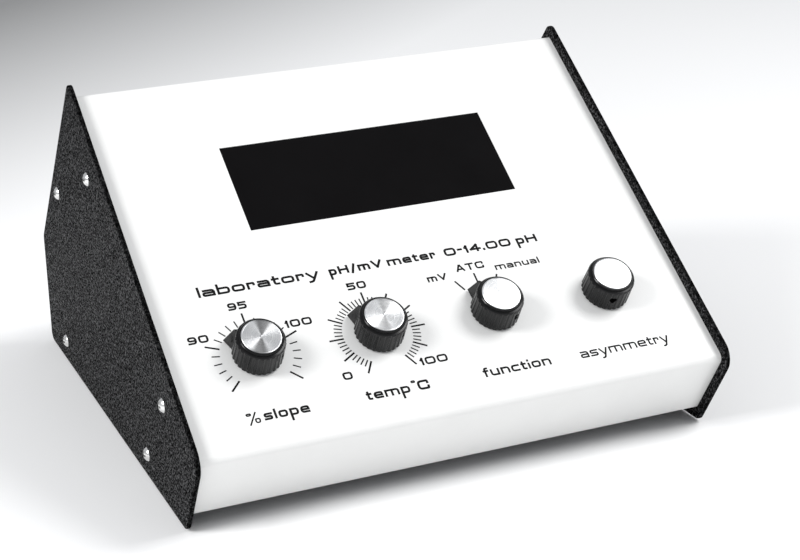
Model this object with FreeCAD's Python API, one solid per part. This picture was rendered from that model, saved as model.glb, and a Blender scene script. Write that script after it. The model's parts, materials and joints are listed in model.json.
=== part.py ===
import FreeCAD, Part
import math
import os

# Desk-top laboratory pH meter: a folded sheet console between two side cheeks.
# Millimetres, +Z up, X across the front from left to right, Y from the front to the back.
# The origin is on the bench, in the middle of the footprint.

Vec = FreeCAD.Vector

# ---- side profile of a cheek, measured from its front lower corner ----
case_width = 225.0
cheek_thickness = 2.0
bench_gap = 1.0
nose_overhang = 23.0
nose_height = 36.0
apex_setback = 135.0
apex_height = 143.5
knee_setback = 216.5
knee_height = 53.0
cheek_depth = 220.0
foot_corner_radius = 4.0
nose_radius = 8.0
apex_radius = 4.0
knee_radius = 6.0
cheek_edge_radius = 0.5

# ---- folded sheet case ----
sheet = 1.5
bend_radius = 3.0
panel_inset = 4.5
wall_inset = 3.8
apron_clearance = 6.0
cover_return = 14.0
lap_gap = 0.2
flange_depth = 17.0
flange_end_gap = 6.0
tray_upstand = 12.0
tray_flange_height = 18.0
rear_lip_height = 10.0

# ---- fasteners ----
screw_shank_radius = 1.45
screw_hole_radius = 1.6
screw_head_radius = 3.0
screw_head_height = 1.9
screw_recess_width = 0.8
screw_recess_length = 3.4
screw_recess_depth = 1.1
screw_head_rim = 0.1
cheek_screw_length = 7.0

# places of the cheek screws: along their edges, and inwards from them
slope_screw_low = 39.5
slope_screw_high = 153.1
slope_screw_inset = 17.7
rear_screw_from_apex = 70.0
rear_screw_inset = 10.0
tray_screw_front = 49.5
tray_screw_back = 185.5
tray_screw_height = 10.7

# ---- feet ----
foot_radius = 9.0
foot_taper = 1.0
foot_bore_radius = 4.0
foot_bore_depth = 4.5
foot_side_distance = 27.0
foot_front_setback = 28.0
foot_back_setback = 192.0

# ---- display ----
window_width = 118.0
window_height = 44.4
window_up_slope = 126.5
window_flange = 8.0
window_flange_thickness = 2.0
window_fit_gap = 0.15
window_sunk = 0.2
digit_count = 4
digit_width = 19.0
digit_height = 27.0
digit_depth = 8.0
digit_pitch = 25.5
digit_gap_behind_window = 1.0
board_thickness = 1.6
spacer_radius = 2.5
spacer_inset = 4.0
board_screw_length = 6.0

# ---- rotary controls ----
control_pitch = 50.0
control_up_slope = 45.6
control_names = ("slope", "temperature", "function", "asymmetry")
pointer_turns = {"slope": 51.0, "temperature": 44.0, "function": 30.0}
asymmetry_grub_turn = -13.0
shaft_radius = 3.0
running_gap = 0.05
bushing_radius = 4.0
bushing_length = 2.9
washer_radius = 6.0
washer_thickness = 0.5
nut_across_flats = 10.0
nut_thickness = 2.0
thread_fit_gap = 0.02
pot_radius = 12.0
pot_depth = 10.0
switch_radius = 14.0
switch_depth = 16.0
shaft_end_gap = 0.6
lug_width = 1.6
lug_length = 5.0
lug_thickness = 0.6
lug_root = 1.0

# ---- knobs ----
knob_radius = 10.0
knob_top_radius = 9.75
knob_lift = 0.6
knob_rib_top = 10.2
knob_collar_radius = 8.7
knob_height = 12.0
knob_edge_break = 0.3
knob_rim_step = 0.35
knob_shoulder_low = 0.6
knob_shoulder_high = 0.85
knob_rib_count = 28
knob_rib_depth = 0.5
knob_flute_radius = 0.8
knob_recess_radius = 6.8
knob_recess_depth = 3.0
knob_bore_depth = 9.4
cap_radius = 7.85
cap_thickness = 1.2
cap_stand = 0.4
cap_bevel = 0.35
pointer_reach = 14.2
pointer_top_reach = 10.9
pointer_half_angle = 27.0
pointer_top = 9.8
pointer_root_radius = 8.5
grub_height = 6.6
grub_radius = 1.4
grub_hole_radius = 1.5
grub_length = 4.5
grub_socket_radius = 0.75
grub_socket_depth = 1.5
grub_hole_overrun = 1.0

# ---- main board ----
main_board_width = 140.0
main_board_depth = 104.0
main_board_left = -104.0
main_board_front = 60.0
main_board_lift = 8.0
board_screw_inset = 5.0
chip_length = 19.0
chip_width = 6.4
chip_height = 3.5
chip_columns = 4
chip_rows = 2
chip_column_pitch = 26.0
chip_row_pitch = 18.0
chip_first_x = 26.0
chip_first_y = 20.0
capacitor_radius = 8.0
capacitor_height = 25.0
capacitor_pitch = 20.0
capacitor_count = 2
capacitor_edge_distance = 14.0
capacitor_first_y = 62.0
capacitor_rounding = 1.0
heatsink_width = 36.0
heatsink_height = 24.0
heatsink_base = 3.0
heatsink_fin = 1.2
heatsink_fin_length = 9.0
heatsink_fin_count = 6
heatsink_edge_distance = 46.0
heatsink_y = 76.0
shield_width = 46.0
shield_depth = 34.0
shield_height = 16.0
shield_wall = 0.6
shield_edge_distance = 6.0
shield_front = 58.0

# ---- transformer ----
transformer_width = 54.0
transformer_depth = 26.0
transformer_height = 45.0
transformer_limb = 9.0
transformer_centre_limb = 18.0
winding_gap = 0.4
winding_overhang = 9.0
transformer_flange_length = 10.0
transformer_flange_thickness = 2.0
transformer_place_x = 66.0
transformer_place_setback = 140.0

# ---- rear fittings, by their distance across from the middle ----
rear_row_height = 25.0
inlet_place = 78.0
fuse_place = 44.0
power_place = 20.0
recorder_place = -9.0
recorder_pitch = 19.0
jack_place = -52.0
sensor_place = -82.0
inlet_flange_width = 50.0
inlet_flange_height = 24.0
inlet_flange_thickness = 3.0
inlet_corner_radius = 4.0
inlet_body_width = 27.5
inlet_body_height = 20.0
inlet_body_depth = 21.0
inlet_recess_width = 23.0
inlet_recess_height = 16.0
inlet_recess_depth = 17.0
inlet_recess_chamfer = 4.0
inlet_blade_width = 2.0
inlet_blade_height = 4.0
inlet_blade_length = 14.0
inlet_blade_pitch = 14.0
inlet_blade_offset = 2.0
inlet_blade_root = 1.0
inlet_screw_pitch = 40.0
cutout_gap = 0.2
fuse_flange_radius = 8.0
fuse_flange_thickness = 2.0
fuse_body_radius = 6.3
fuse_body_length = 32.0
fuse_end_wall = 4.0
fuse_cap_radius = 6.0
fuse_cap_height = 8.0
fuse_cap_taper = 0.5
fuse_cap_edge = 0.8
fuse_slot_width = 1.4
fuse_bore_radius = 3.6
fuse_cap_plug_length = 10.0
power_flange_width = 15.0
power_flange_height = 22.0
power_flange_thickness = 2.0
power_body_width = 13.0
power_body_height = 19.4
power_body_depth = 16.0
power_lug_offset = 3.5
power_lug_thickness = 0.8
power_lug_width = 4.8
power_lug_length = 8.0
rocker_radius = 8.3
rocker_width = 9.8
rocker_side_gap = 0.4
rocker_end_gap = 0.5
rocker_pivot_height = 0.8
rocker_tilt = 12.0
rocker_valley = 1.6
rocker_belly = 3.6
socket_bore_radius = 2.05
socket_collar_radius = 6.5
socket_collar_height = 4.5
socket_collar_rounding = 0.8
socket_body_radius = 4.0
socket_body_length = 20.0
socket_bore_length = 18.0
jack_bore_radius = 3.2
jack_bush_radius = 4.7
jack_bush_length = 4.5
jack_hex = 13.0
jack_hex_height = 2.0
jack_body_length = 22.0
jack_bore_length = 20.0
sensor_barrel_radius = 4.8
sensor_barrel_length = 10.5
sensor_bore_radius = 4.05
sensor_bore_depth = 8.5
sensor_hex = 15.0
sensor_hex_height = 2.0
sensor_pin_radius = 0.7
sensor_pin_recess = 1.5
sensor_thread_radius = 6.2
sensor_thread_length = 11.0
socket_nut_thickness = 2.5
socket_nut_flat_margin = 3.0
vent_count = 9
vent_length = 30.0
vent_width = 3.0
vent_pitch = 9.0
vent_from_apex = 50.0


# ---- outlines in the Y-Z plane ----
def unit(start, end):
    length = math.hypot(end[0] - start[0], end[1] - start[1])
    return ((end[0] - start[0]) / length, (end[1] - start[1]) / length)


def meeting_point(p, d, q, e):
    """Where the line through p along d meets the line through q along e."""
    cross = d[0] * e[1] - d[1] * e[0]
    t = ((q[0] - p[0]) * e[1] - (q[1] - p[1]) * e[0]) / cross
    return (p[0] + d[0] * t, p[1] + d[1] * t)


def offset_path(points, distances):
    """Move each run of an open outline to its right by its own distance, keeping the corners sharp."""
    runs = []
    for start, end, distance in zip(points, points[1:], distances):
        d = unit(start, end)
        shift = (d[1] * distance, -d[0] * distance)
        moved_start = (start[0] + shift[0], start[1] + shift[1])
        moved_end = (end[0] + shift[0], end[1] + shift[1])
        runs.append((moved_start, moved_end, d))
    moved = [runs[0][0]]
    for (p, _, d), (q, _, e) in zip(runs, runs[1:]):
        moved.append(meeting_point(p, d, q, e))
    moved.append(runs[-1][1])
    return moved


def at_height(start, end, height):
    """The point of a line at a given height."""
    t = (height - start[1]) / (end[1] - start[1])
    return (start[0] + (end[0] - start[0]) * t, height)


def along(start, end, distance):
    d = unit(start, end)
    return (start[0] + d[0] * distance, start[1] + d[1] * distance)


def vector(point):
    return Vec(0, point[0], point[1])


def rounded_edges(points, radii, closed):
    """Straight runs joined by tangent arcs; an open outline keeps its two ends."""
    count = len(points)
    pieces = []
    joints = []
    for i, point in enumerate(points):
        if not closed and i in (0, count - 1):
            joints.append((point, None, point))
            continue
        before = unit(point, points[i - 1])
        after = unit(point, points[(i + 1) % count])
        half = math.acos(before[0] * after[0] + before[1] * after[1]) / 2.0
        reach = radii[i] / math.tan(half)
        start = (point[0] + before[0] * reach, point[1] + before[1] * reach)
        end = (point[0] + after[0] * reach, point[1] + after[1] * reach)
        middle_distance = radii[i] / math.sin(half) - radii[i]
        bisector = unit((0.0, 0.0), (before[0] + after[0], before[1] + after[1]))
        middle = (point[0] + bisector[0] * middle_distance, point[1] + bisector[1] * middle_distance)
        joints.append((start, middle, end))
    for i, (start, middle, end) in enumerate(joints):
        if middle is not None:
            pieces.append(Part.Arc(vector(start), vector(middle), vector(end)).toShape())
        following = joints[(i + 1) % count]
        if closed or i < count - 1:
            pieces.append(Part.LineSegment(vector(end), vector(following[0])).toShape())
    return pieces


def prism(edges, left, width):
    """Solid of an outline in the Y-Z plane, from x = left."""
    face = Part.Face(Part.Wire(Part.__sortEdges__(edges)))
    face.translate(Vec(left, 0, 0))
    return face.extrude(Vec(width, 0, 0))


def bent_sheet(outer, width):
    """Sheet with its outer face on an open outline, folded to the right at every corner."""
    inner = offset_path(outer, [sheet] * (len(outer) - 1))
    outer_edges = rounded_edges(outer, [bend_radius] * len(outer), False)
    inner_edges = rounded_edges(inner, [bend_radius - sheet] * len(inner), False)
    ends = [
        Part.LineSegment(vector(outer[0]), vector(inner[0])).toShape(),
        Part.LineSegment(vector(outer[-1]), vector(inner[-1])).toShape(),
    ]
    return prism(outer_edges + inner_edges + ends, -width / 2.0, width)


def flat_strip(path, near, far, left):
    """Flat side flange between two depths inside an open outline."""
    outer = offset_path(path, [near] * (len(path) - 1))
    inner = offset_path(path, [far] * (len(path) - 1))
    loop = outer + inner[::-1]
    edges = []
    for start, end in zip(loop, loop[1:] + loop[:1]):
        edges.append(Part.LineSegment(vector(start), vector(end)).toShape())
    return prism(edges, left, sheet)


# ---- profile points, with the cheek's front lower corner at y = 0 ----
body_width = case_width - 2.0 * cheek_thickness
half_body = body_width / 2.0
toe = (0.0, bench_gap)
nose = (-nose_overhang, bench_gap + nose_height)
apex = (apex_setback, bench_gap + apex_height)
knee = (knee_setback, bench_gap + knee_height)
heel = (cheek_depth, bench_gap)
cheek_outline = [toe, nose, apex, knee, heel]
body_outline = offset_path([toe, nose, apex, knee, heel], [wall_inset, panel_inset, wall_inset, wall_inset])
tray_bottom = bench_gap + apron_clearance
body_toe = at_height(body_outline[0], body_outline[1], tray_bottom)
body_nose = body_outline[1]
body_apex = body_outline[2]
body_knee = body_outline[3]
body_heel = at_height(body_outline[3], body_outline[4], tray_bottom)

slope_direction = unit(nose, apex)
slope_angle = math.degrees(math.atan2(slope_direction[1], slope_direction[0]))
panel_base = (
    nose[0] + slope_direction[1] * panel_inset,
    nose[1] - slope_direction[0] * panel_inset,
)
rear_outline = offset_path([body_apex, body_knee, body_heel], [sheet + lap_gap, sheet + lap_gap])
rear_apex, rear_knee, rear_heel = rear_outline
rear_down = unit(rear_knee, rear_heel)
tray_top = tray_bottom + sheet


# ---- placing on the case ----
def on_panel(shape, x, up_slope):
    """Set a shape on the sloping panel: its Z out of the panel, its Y up the slope."""
    shape.Placement = FreeCAD.Placement(
        Vec(x, panel_base[0] + slope_direction[0] * up_slope, panel_base[1] + slope_direction[1] * up_slope),
        FreeCAD.Rotation(Vec(1, 0, 0), slope_angle),
    ).multiply(shape.Placement)
    return shape


def on_rear(shape, x, height=rear_row_height):
    """Set a shape on the lower rear wall: its Z out of the wall, its Y up the wall."""
    up = Vec(0, -rear_down[0], -rear_down[1])
    out = Vec(0, -rear_down[1], rear_down[0])
    base = (rear_heel[0] - rear_down[0] * height, rear_heel[1] - rear_down[1] * height)
    shape.Placement = FreeCAD.Placement(
        Vec(x, base[0], base[1]),
        FreeCAD.Rotation(up.cross(out), up, out, "ZXY"),
    ).multiply(shape.Placement)
    return shape


def control_x(index):
    return (index - (len(control_names) - 1) / 2.0) * control_pitch


# ---- simple solids ----
def block(width, depth, height, x=0.0, y=0.0, z=0.0):
    """Box centred on (x, y) with its underside at z."""
    return Part.makeBox(width, depth, height, Vec(x - width / 2.0, y - depth / 2.0, z))


def rod(radius, bottom, top, x=0.0, y=0.0):
    return Part.makeCylinder(radius, top - bottom, Vec(x, y, bottom))


def hexagon(across_flats, bottom, top):
    corner = across_flats / math.sqrt(3.0)
    points = [Vec(corner * math.cos(math.radians(60 * i)), corner * math.sin(math.radians(60 * i)), bottom)
              for i in range(7)]
    return Part.Face(Part.makePolygon(points)).extrude(Vec(0, 0, top - bottom))


def turned(points):
    """Solid of revolution about Z from (radius, height) points."""
    outline = Part.makePolygon([Vec(r, 0, z) for r, z in points + points[:1]])
    return Part.Face(outline).revolve(Vec(0, 0, 0), Vec(0, 0, 1), 360)


def pan_screw(length, underside=0.0):
    """Pan-head cross-recess screw: head above the underside, shank below it."""
    crown = (screw_head_radius ** 2 + screw_head_height ** 2) / (2.0 * screw_head_height)
    dome = Part.makeSphere(crown, Vec(0, 0, screw_head_height - crown))
    head = dome.common(rod(screw_head_radius - screw_head_rim, 0.0, screw_head_height))
    recess_bottom = screw_head_height - screw_recess_depth
    arms = ((screw_recess_width, screw_recess_length), (screw_recess_length, screw_recess_width))
    for width, depth in arms:
        head = head.cut(block(width, depth, screw_recess_depth, z=recess_bottom))
    screw = head.fuse(rod(screw_shank_radius, -length, 0.0)).removeSplitter()
    screw.translate(Vec(0, 0, underside))
    return screw


def group(shapes):
    return Part.makeCompound(shapes)


# ---- case ----
def cheek_screw_points():
    """Screw places in the Y-Z plane: two into the front cover, two into the tray, one into the rear cover."""
    inward = (slope_direction[1], -slope_direction[0])
    places = []
    for distance in (slope_screw_low, slope_screw_high):
        on_edge = along(nose, apex, distance)
        places.append((
            on_edge[0] + inward[0] * slope_screw_inset,
            on_edge[1] + inward[1] * slope_screw_inset,
        ))
    on_rear_edge = along(apex, knee, rear_screw_from_apex)
    rear_direction = unit(apex, knee)
    places.append((
        on_rear_edge[0] + rear_direction[1] * rear_screw_inset,
        on_rear_edge[1] - rear_direction[0] * rear_screw_inset,
    ))
    for setback in (tray_screw_front, tray_screw_back):
        places.append((setback, bench_gap + tray_screw_height))
    return places


def cross_hole(radius, point, left, width):
    return Part.makeCylinder(radius, width, Vec(left, point[0], point[1]), Vec(1, 0, 0))


def make_cheek(left):
    radii = [foot_corner_radius, nose_radius, apex_radius, knee_radius, foot_corner_radius]
    plate = prism(rounded_edges(cheek_outline, radii, True), left, cheek_thickness)
    outline = [e for e in plate.Edges if e.BoundBox.XLength < cheek_edge_radius]
    plate = plate.makeFillet(cheek_edge_radius, outline)
    for point in cheek_screw_points():
        plate = plate.cut(cross_hole(screw_hole_radius, point, left, cheek_thickness))
    return plate


def make_cheek_screws(side):
    """side is -1 for the left cheek and +1 for the right one."""
    screws = []
    for point in cheek_screw_points():
        screw = pan_screw(cheek_screw_length)
        screw.Placement = FreeCAD.Placement(
            Vec(side * case_width / 2.0, point[0], point[1]),
            FreeCAD.Rotation(Vec(0, 1, 0), side * 90.0),
        )
        screws.append(screw)
    return group(screws)


def drill_flanges(sheet_part, points):
    for point in points:
        sheet_part = sheet_part.cut(cross_hole(screw_hole_radius, point, -half_body, body_width))
    return sheet_part


def make_front_cover():
    """Apron, sloping panel and top return in one folded sheet with a flange down each side."""
    return_end = along(body_apex, body_knee, cover_return)
    cover = bent_sheet([body_toe, body_nose, body_apex, return_end], body_width)
    flange_start = along(body_nose, body_apex, flange_end_gap)
    flange_end = along(body_apex, body_nose, flange_depth + flange_end_gap)
    for left in (-half_body, half_body - sheet):
        cover = cover.fuse(flat_strip([flange_start, flange_end], sheet / 2.0, flange_depth, left))
    cover = cover.removeSplitter()
    opening = block(window_width, window_height, 4.0 * sheet, z=-3.0 * sheet)
    cover = cover.cut(on_panel(opening, 0.0, window_up_slope))
    for index in range(len(control_names)):
        hole = rod(bushing_radius + thread_fit_gap, -3.0 * sheet, sheet)
        cover = cover.cut(on_panel(hole, control_x(index), control_up_slope))
    return drill_flanges(cover, cheek_screw_points()[:2])


def tray_screw_gap_x():
    return (-body_width / 3.0, 0.0, body_width / 3.0)


def make_base_tray():
    """Bottom plate with upstands at the front and the back and a flange up each side."""
    inner_gap = sheet + lap_gap
    front_line = offset_path([body_toe, body_nose], [inner_gap])
    corner_front = at_height(front_line[0], front_line[1], tray_bottom)
    front_top = at_height(front_line[0], front_line[1], tray_bottom + tray_upstand)
    rear_line = offset_path([rear_knee, rear_heel], [inner_gap])
    corner_rear = at_height(rear_line[0], rear_line[1], tray_bottom)
    rear_top = at_height(rear_line[0], rear_line[1], tray_bottom + rear_lip_height)
    tray = bent_sheet([rear_top, corner_rear, corner_front, front_top], body_width - 2.0 * lap_gap)
    start = (corner_front[0] + flange_end_gap, tray_bottom)
    end = (corner_rear[0] - flange_end_gap, tray_bottom)
    for left in (-half_body + lap_gap, half_body - lap_gap - sheet):
        tray = tray.fuse(flat_strip([end, start], sheet / 2.0, tray_flange_height, left))
    tray = tray.removeSplitter()
    tray = drill_flanges(tray, cheek_screw_points()[3:])
    for x, y in foot_places():
        tray = tray.cut(rod(screw_hole_radius, tray_bottom, tray_top, x, y))
    for x, y in main_board_corners() + transformer_screw_places():
        tray = tray.cut(rod(screw_hole_radius, tray_bottom, tray_top, x, y))
    for x in tray_screw_gap_x():
        tray = tray.cut(on_rear(rod(screw_hole_radius, -4.0 * sheet, sheet), x, rear_lip_height / 2.0))
    return tray


def make_rear_cover():
    """Upper rear slope with vents and lower rear wall with the connector cut-outs."""
    top = along(rear_apex, rear_knee, bend_radius + lap_gap)
    cover = bent_sheet([top, rear_knee, rear_heel], body_width)
    start = along(rear_apex, rear_knee, flange_depth + flange_end_gap)
    end = along(rear_knee, rear_apex, flange_depth)
    for left in (-half_body, half_body - sheet):
        cover = cover.fuse(flat_strip([start, end], sheet / 2.0, flange_depth, left))
    cover = cover.removeSplitter()
    cover = drill_flanges(cover, cheek_screw_points()[2:3])
    for cutter in rear_cutouts():
        cover = cover.cut(cutter)
    for x in tray_screw_gap_x():
        cover = cover.cut(on_rear(rod(screw_hole_radius, -2.0 * sheet, sheet), x, rear_lip_height / 2.0))
    return cover.cut(group(vent_slots()))


def vent_slots():
    direction = unit(rear_apex, rear_knee)
    centre = along(rear_apex, rear_knee, vent_from_apex)
    slots = []
    for index in range(vent_count):
        x = (index - (vent_count - 1) / 2.0) * vent_pitch
        slot = block(vent_width, vent_length - vent_width, 6.0 * sheet, z=-3.0 * sheet)
        for end in (-1, 1):
            round_end = end * (vent_length - vent_width) / 2.0
            slot = slot.fuse(rod(vent_width / 2.0, -3.0 * sheet, 3.0 * sheet, 0.0, round_end))
        slot.Placement = FreeCAD.Placement(
            Vec(x, centre[0], centre[1]),
            FreeCAD.Rotation(Vec(1, 0, 0), math.degrees(math.atan2(direction[1], direction[0]))),
        )
        slots.append(slot)
    return slots


def make_rear_cover_screws():
    """Three screws through the rear cover's foot into the tray's rear lip."""
    height = rear_lip_height / 2.0
    return group([on_rear(pan_screw(cheek_screw_length), x, height) for x in tray_screw_gap_x()])


def foot_places():
    x = case_width / 2.0 - foot_side_distance
    return [(side * x, y) for side in (-1, 1) for y in (foot_front_setback, foot_back_setback)]


def make_feet():
    feet = []
    for x, y in foot_places():
        foot = Part.makeCone(foot_radius - foot_taper, foot_radius, tray_bottom, Vec(x, y, 0))
        foot = foot.cut(rod(foot_bore_radius, 0.0, foot_bore_depth, x, y))
        feet.append(foot.cut(rod(screw_hole_radius, foot_bore_depth, tray_bottom, x, y)))
    return group(feet)


def make_foot_screws():
    screws = []
    for x, y in foot_places():
        screw = pan_screw(tray_top - foot_bore_depth + sheet)
        screw.rotate(Vec(0, 0, 0), Vec(1, 0, 0), 180)
        screw.translate(Vec(x, y, foot_bore_depth))
        screws.append(screw)
    return group(screws)


# ---- display ----
def window_depths():
    """Heights, out of the panel, of the window flange's back, the digits' face and the board's face."""
    flange_back = -sheet - window_flange_thickness
    digit_face = flange_back - digit_gap_behind_window
    board_face = digit_face - digit_depth
    return flange_back, digit_face, board_face


def spacer_places():
    half_width = window_width / 2.0 + window_flange - spacer_inset
    half_height = window_height / 2.0 + window_flange - spacer_inset
    return [(i * half_width, j * half_height) for i in (-1, 1) for j in (-1, 1)]


def make_window():
    """Tinted plate with a step that fills the opening, held by its flange behind the panel."""
    flange_back = window_depths()[0]
    flange_width = window_width + 2.0 * window_flange
    flange_height = window_height + 2.0 * window_flange
    plate = block(flange_width, flange_height, window_flange_thickness, z=flange_back)
    step_width = window_width - 2.0 * window_fit_gap
    step_height = window_height - 2.0 * window_fit_gap
    plate = plate.fuse(block(step_width, step_height, sheet - window_sunk, z=-sheet)).removeSplitter()
    for x, y in spacer_places():
        plate = plate.cut(rod(spacer_radius + window_fit_gap, flange_back, -sheet, x, y))
    return on_panel(plate, 0.0, window_up_slope)


def make_digits():
    digit_face, board_face = window_depths()[1:]
    digits = []
    for index in range(digit_count):
        x = (index - (digit_count - 1) / 2.0) * digit_pitch
        digits.append(block(digit_width, digit_height, digit_face - board_face, x, 0.0, board_face))
    return on_panel(group(digits), 0.0, window_up_slope)


def make_display_board():
    board_face = window_depths()[2]
    width = window_width + 2.0 * window_flange
    board = block(width, window_height + 2.0 * window_flange, board_thickness, z=board_face - board_thickness)
    for x, y in spacer_places():
        board = board.cut(rod(screw_hole_radius, board_face - board_thickness, board_face, x, y))
    return on_panel(board, 0.0, window_up_slope)


def make_display_spacers():
    board_face = window_depths()[2]
    spacers = []
    for x, y in spacer_places():
        spacer = rod(spacer_radius, board_face, -sheet, x, y)
        spacers.append(spacer.cut(rod(screw_hole_radius, board_face, -2.0 * sheet, x, y)))
    return on_panel(group(spacers), 0.0, window_up_slope)


def make_display_screws():
    back = window_depths()[2] - board_thickness
    screws = []
    for x, y in spacer_places():
        screw = pan_screw(board_screw_length)
        screw.rotate(Vec(0, 0, 0), Vec(1, 0, 0), 180)
        screw.translate(Vec(x, y, back))
        screws.append(screw)
    return on_panel(group(screws), 0.0, window_up_slope)


# ---- controls ----
def make_knob_body(pointer, grub_turn):
    """Fluted knob with a recess over the bushing nut, a shaft bore and a seat for the cap."""
    body = turned([
        (0.0, knob_lift),
        (knob_radius - knob_edge_break, knob_lift),
        (knob_radius, knob_lift + knob_edge_break),
        (knob_top_radius, knob_rib_top),
        (knob_top_radius - knob_rim_step, knob_rib_top + knob_shoulder_low),
        (knob_collar_radius, knob_rib_top + knob_shoulder_high),
        (knob_collar_radius, knob_height - knob_edge_break),
        (knob_collar_radius - knob_edge_break, knob_height),
        (0.0, knob_height),
    ])
    flute_centre = knob_radius + knob_flute_radius - knob_rib_depth
    flutes = []
    for index in range(knob_rib_count):
        turn = 2.0 * math.pi * (index + 0.5) / knob_rib_count
        x = flute_centre * math.sin(turn)
        y = flute_centre * math.cos(turn)
        flutes.append(rod(knob_flute_radius, 0.0, knob_rib_top + knob_shoulder_high, x, y))
    body = body.cut(group(flutes))
    if pointer:
        body = body.fuse(make_pointer()).removeSplitter()
    body = body.cut(rod(knob_recess_radius, 0.0, knob_lift + knob_recess_depth))
    body = body.cut(rod(shaft_radius + thread_fit_gap, 0.0, knob_lift + knob_bore_depth))
    seat = knob_height + cap_stand - cap_thickness
    body = body.cut(rod(cap_radius + thread_fit_gap, seat, knob_height))
    inner = shaft_radius - grub_hole_overrun
    return body.cut(grub_cylinder(grub_hole_radius, inner, knob_radius + grub_hole_overrun, grub_turn))


def make_pointer():
    """Wedge that runs down the knob's side, from the collar out to a sharp tip over the scale."""
    spread = math.tan(math.radians(pointer_half_angle))
    sections = []
    for reach, height in ((pointer_reach, knob_lift), (pointer_top_reach, pointer_top)):
        half = (reach - pointer_root_radius) * spread
        corners = [
            Vec(0, reach, height),
            Vec(-half, pointer_root_radius, height),
            Vec(half, pointer_root_radius, height),
        ]
        sections.append(Part.makePolygon(corners + corners[:1]))
    return Part.makeLoft(sections, True, True)


def grub_cylinder(radius, inner, outer, turn):
    """Radial cylinder at the grub screw's height; a turn of 0 is opposite the pointer."""
    angle = math.radians(turn)
    direction = Vec(math.sin(angle), -math.cos(angle), 0)
    return Part.makeCylinder(radius, outer - inner, direction * inner + Vec(0, 0, grub_height), direction)


def make_grub(turn):
    screw = grub_cylinder(grub_radius, shaft_radius, shaft_radius + grub_length, turn)
    outer = shaft_radius + grub_length
    return screw.cut(grub_cylinder(grub_socket_radius, outer - grub_socket_depth, outer, turn))


def make_cap():
    top = knob_height + cap_stand
    bottom = top - cap_thickness
    return turned([
        (0.0, bottom),
        (cap_radius, bottom),
        (cap_radius, top - cap_bevel),
        (cap_radius - cap_bevel, top),
        (0.0, top),
    ])


def shaft_bottom(depth):
    return -sheet - depth + 2.0 * shaft_end_gap


def make_shaft(depth):
    return rod(shaft_radius, shaft_bottom(depth), knob_lift + knob_bore_depth)


def make_control_housing(radius, depth, lug_angles):
    """Potentiometer or switch behind the panel, with its bushing through it and solder lugs on its rim."""
    back = -sheet - depth
    housing = rod(radius, back, -sheet).fuse(rod(bushing_radius, -sheet, bushing_length))
    bore_end = shaft_bottom(depth) - shaft_end_gap
    housing = housing.cut(rod(shaft_radius + running_gap, bore_end, bushing_length))
    for angle in lug_angles:
        reach = radius + lug_length / 2.0 - lug_root
        lug = block(lug_width, lug_length, lug_thickness, 0.0, -reach, back + lug_root)
        lug.rotate(Vec(0, 0, 0), Vec(0, 0, 1), angle)
        housing = housing.fuse(lug)
    return housing.removeSplitter()


def make_control_washers():
    washers = []
    for index in range(len(control_names)):
        ring = rod(washer_radius, 0.0, washer_thickness)
        ring = ring.cut(rod(bushing_radius + thread_fit_gap, 0.0, washer_thickness))
        washers.append(on_panel(ring, control_x(index), control_up_slope))
    return group(washers)


def make_control_nuts():
    nuts = []
    for index in range(len(control_names)):
        top = washer_thickness + nut_thickness
        nut = hexagon(nut_across_flats, washer_thickness, top)
        nut = nut.cut(rod(bushing_radius + thread_fit_gap, washer_thickness, top))
        nuts.append(on_panel(nut, control_x(index), control_up_slope))
    return group(nuts)


def add_controls(nodes):
    for index, name in enumerate(control_names):
        is_switch = name == "function"
        has_pointer = name in pointer_turns
        turn = pointer_turns.get(name, 0.0)
        grub_turn = 0.0 if has_pointer else asymmetry_grub_turn
        depth = switch_depth if is_switch else pot_depth
        radius = switch_radius if is_switch else pot_radius
        lug_angles = range(0, 360, 30) if is_switch else (-25, 0, 25)
        housing_name = name + ("_rotary_switch" if is_switch else "_potentiometer")
        nodes[housing_name] = place_control(make_control_housing(radius, depth, lug_angles), index, 0.0)
        nodes[name + "_knob"] = place_control(make_knob_body(has_pointer, grub_turn), index, turn)
        nodes[name + "_knob_cap"] = place_control(make_cap(), index, turn)
        nodes[name + "_shaft"] = place_control(make_shaft(depth), index, turn)
        nodes[name + "_grub_screw"] = place_control(make_grub(grub_turn), index, turn)


def place_control(shape, index, turn):
    shape.rotate(Vec(0, 0, 0), Vec(0, 0, 1), turn)
    return on_panel(shape, control_x(index), control_up_slope)


# ---- electronics ----
def main_board_underside():
    return tray_top + main_board_lift


def main_board_top():
    return main_board_underside() + board_thickness


def main_board_corners():
    left = main_board_left + board_screw_inset
    right = main_board_left + main_board_width - board_screw_inset
    front = main_board_front + board_screw_inset
    back = main_board_front + main_board_depth - board_screw_inset
    return [(x, y) for x in (left, right) for y in (front, back)]


def make_main_board():
    centre_x = main_board_left + main_board_width / 2.0
    centre_y = main_board_front + main_board_depth / 2.0
    underside = main_board_underside()
    board = block(main_board_width, main_board_depth, board_thickness, centre_x, centre_y, underside)
    for x, y in main_board_corners():
        board = board.cut(rod(screw_hole_radius, underside, main_board_top(), x, y))
    return board


def make_board_spacers():
    spacers = []
    for x, y in main_board_corners():
        spacer = rod(spacer_radius, tray_top, main_board_underside(), x, y)
        spacers.append(spacer.cut(rod(screw_hole_radius, tray_top, main_board_underside(), x, y)))
    return group(spacers)


def make_board_screws():
    length = main_board_top() - tray_bottom
    screws = []
    for x, y in main_board_corners():
        screw = pan_screw(length)
        screw.translate(Vec(x, y, main_board_top()))
        screws.append(screw)
    return group(screws)


def make_chips():
    chips = []
    for column in range(chip_columns):
        for row in range(chip_rows):
            x = main_board_left + chip_first_x + column * chip_column_pitch
            y = main_board_front + chip_first_y + row * chip_row_pitch
            chips.append(block(chip_length, chip_width, chip_height, x, y, main_board_top()))
    return group(chips)


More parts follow.
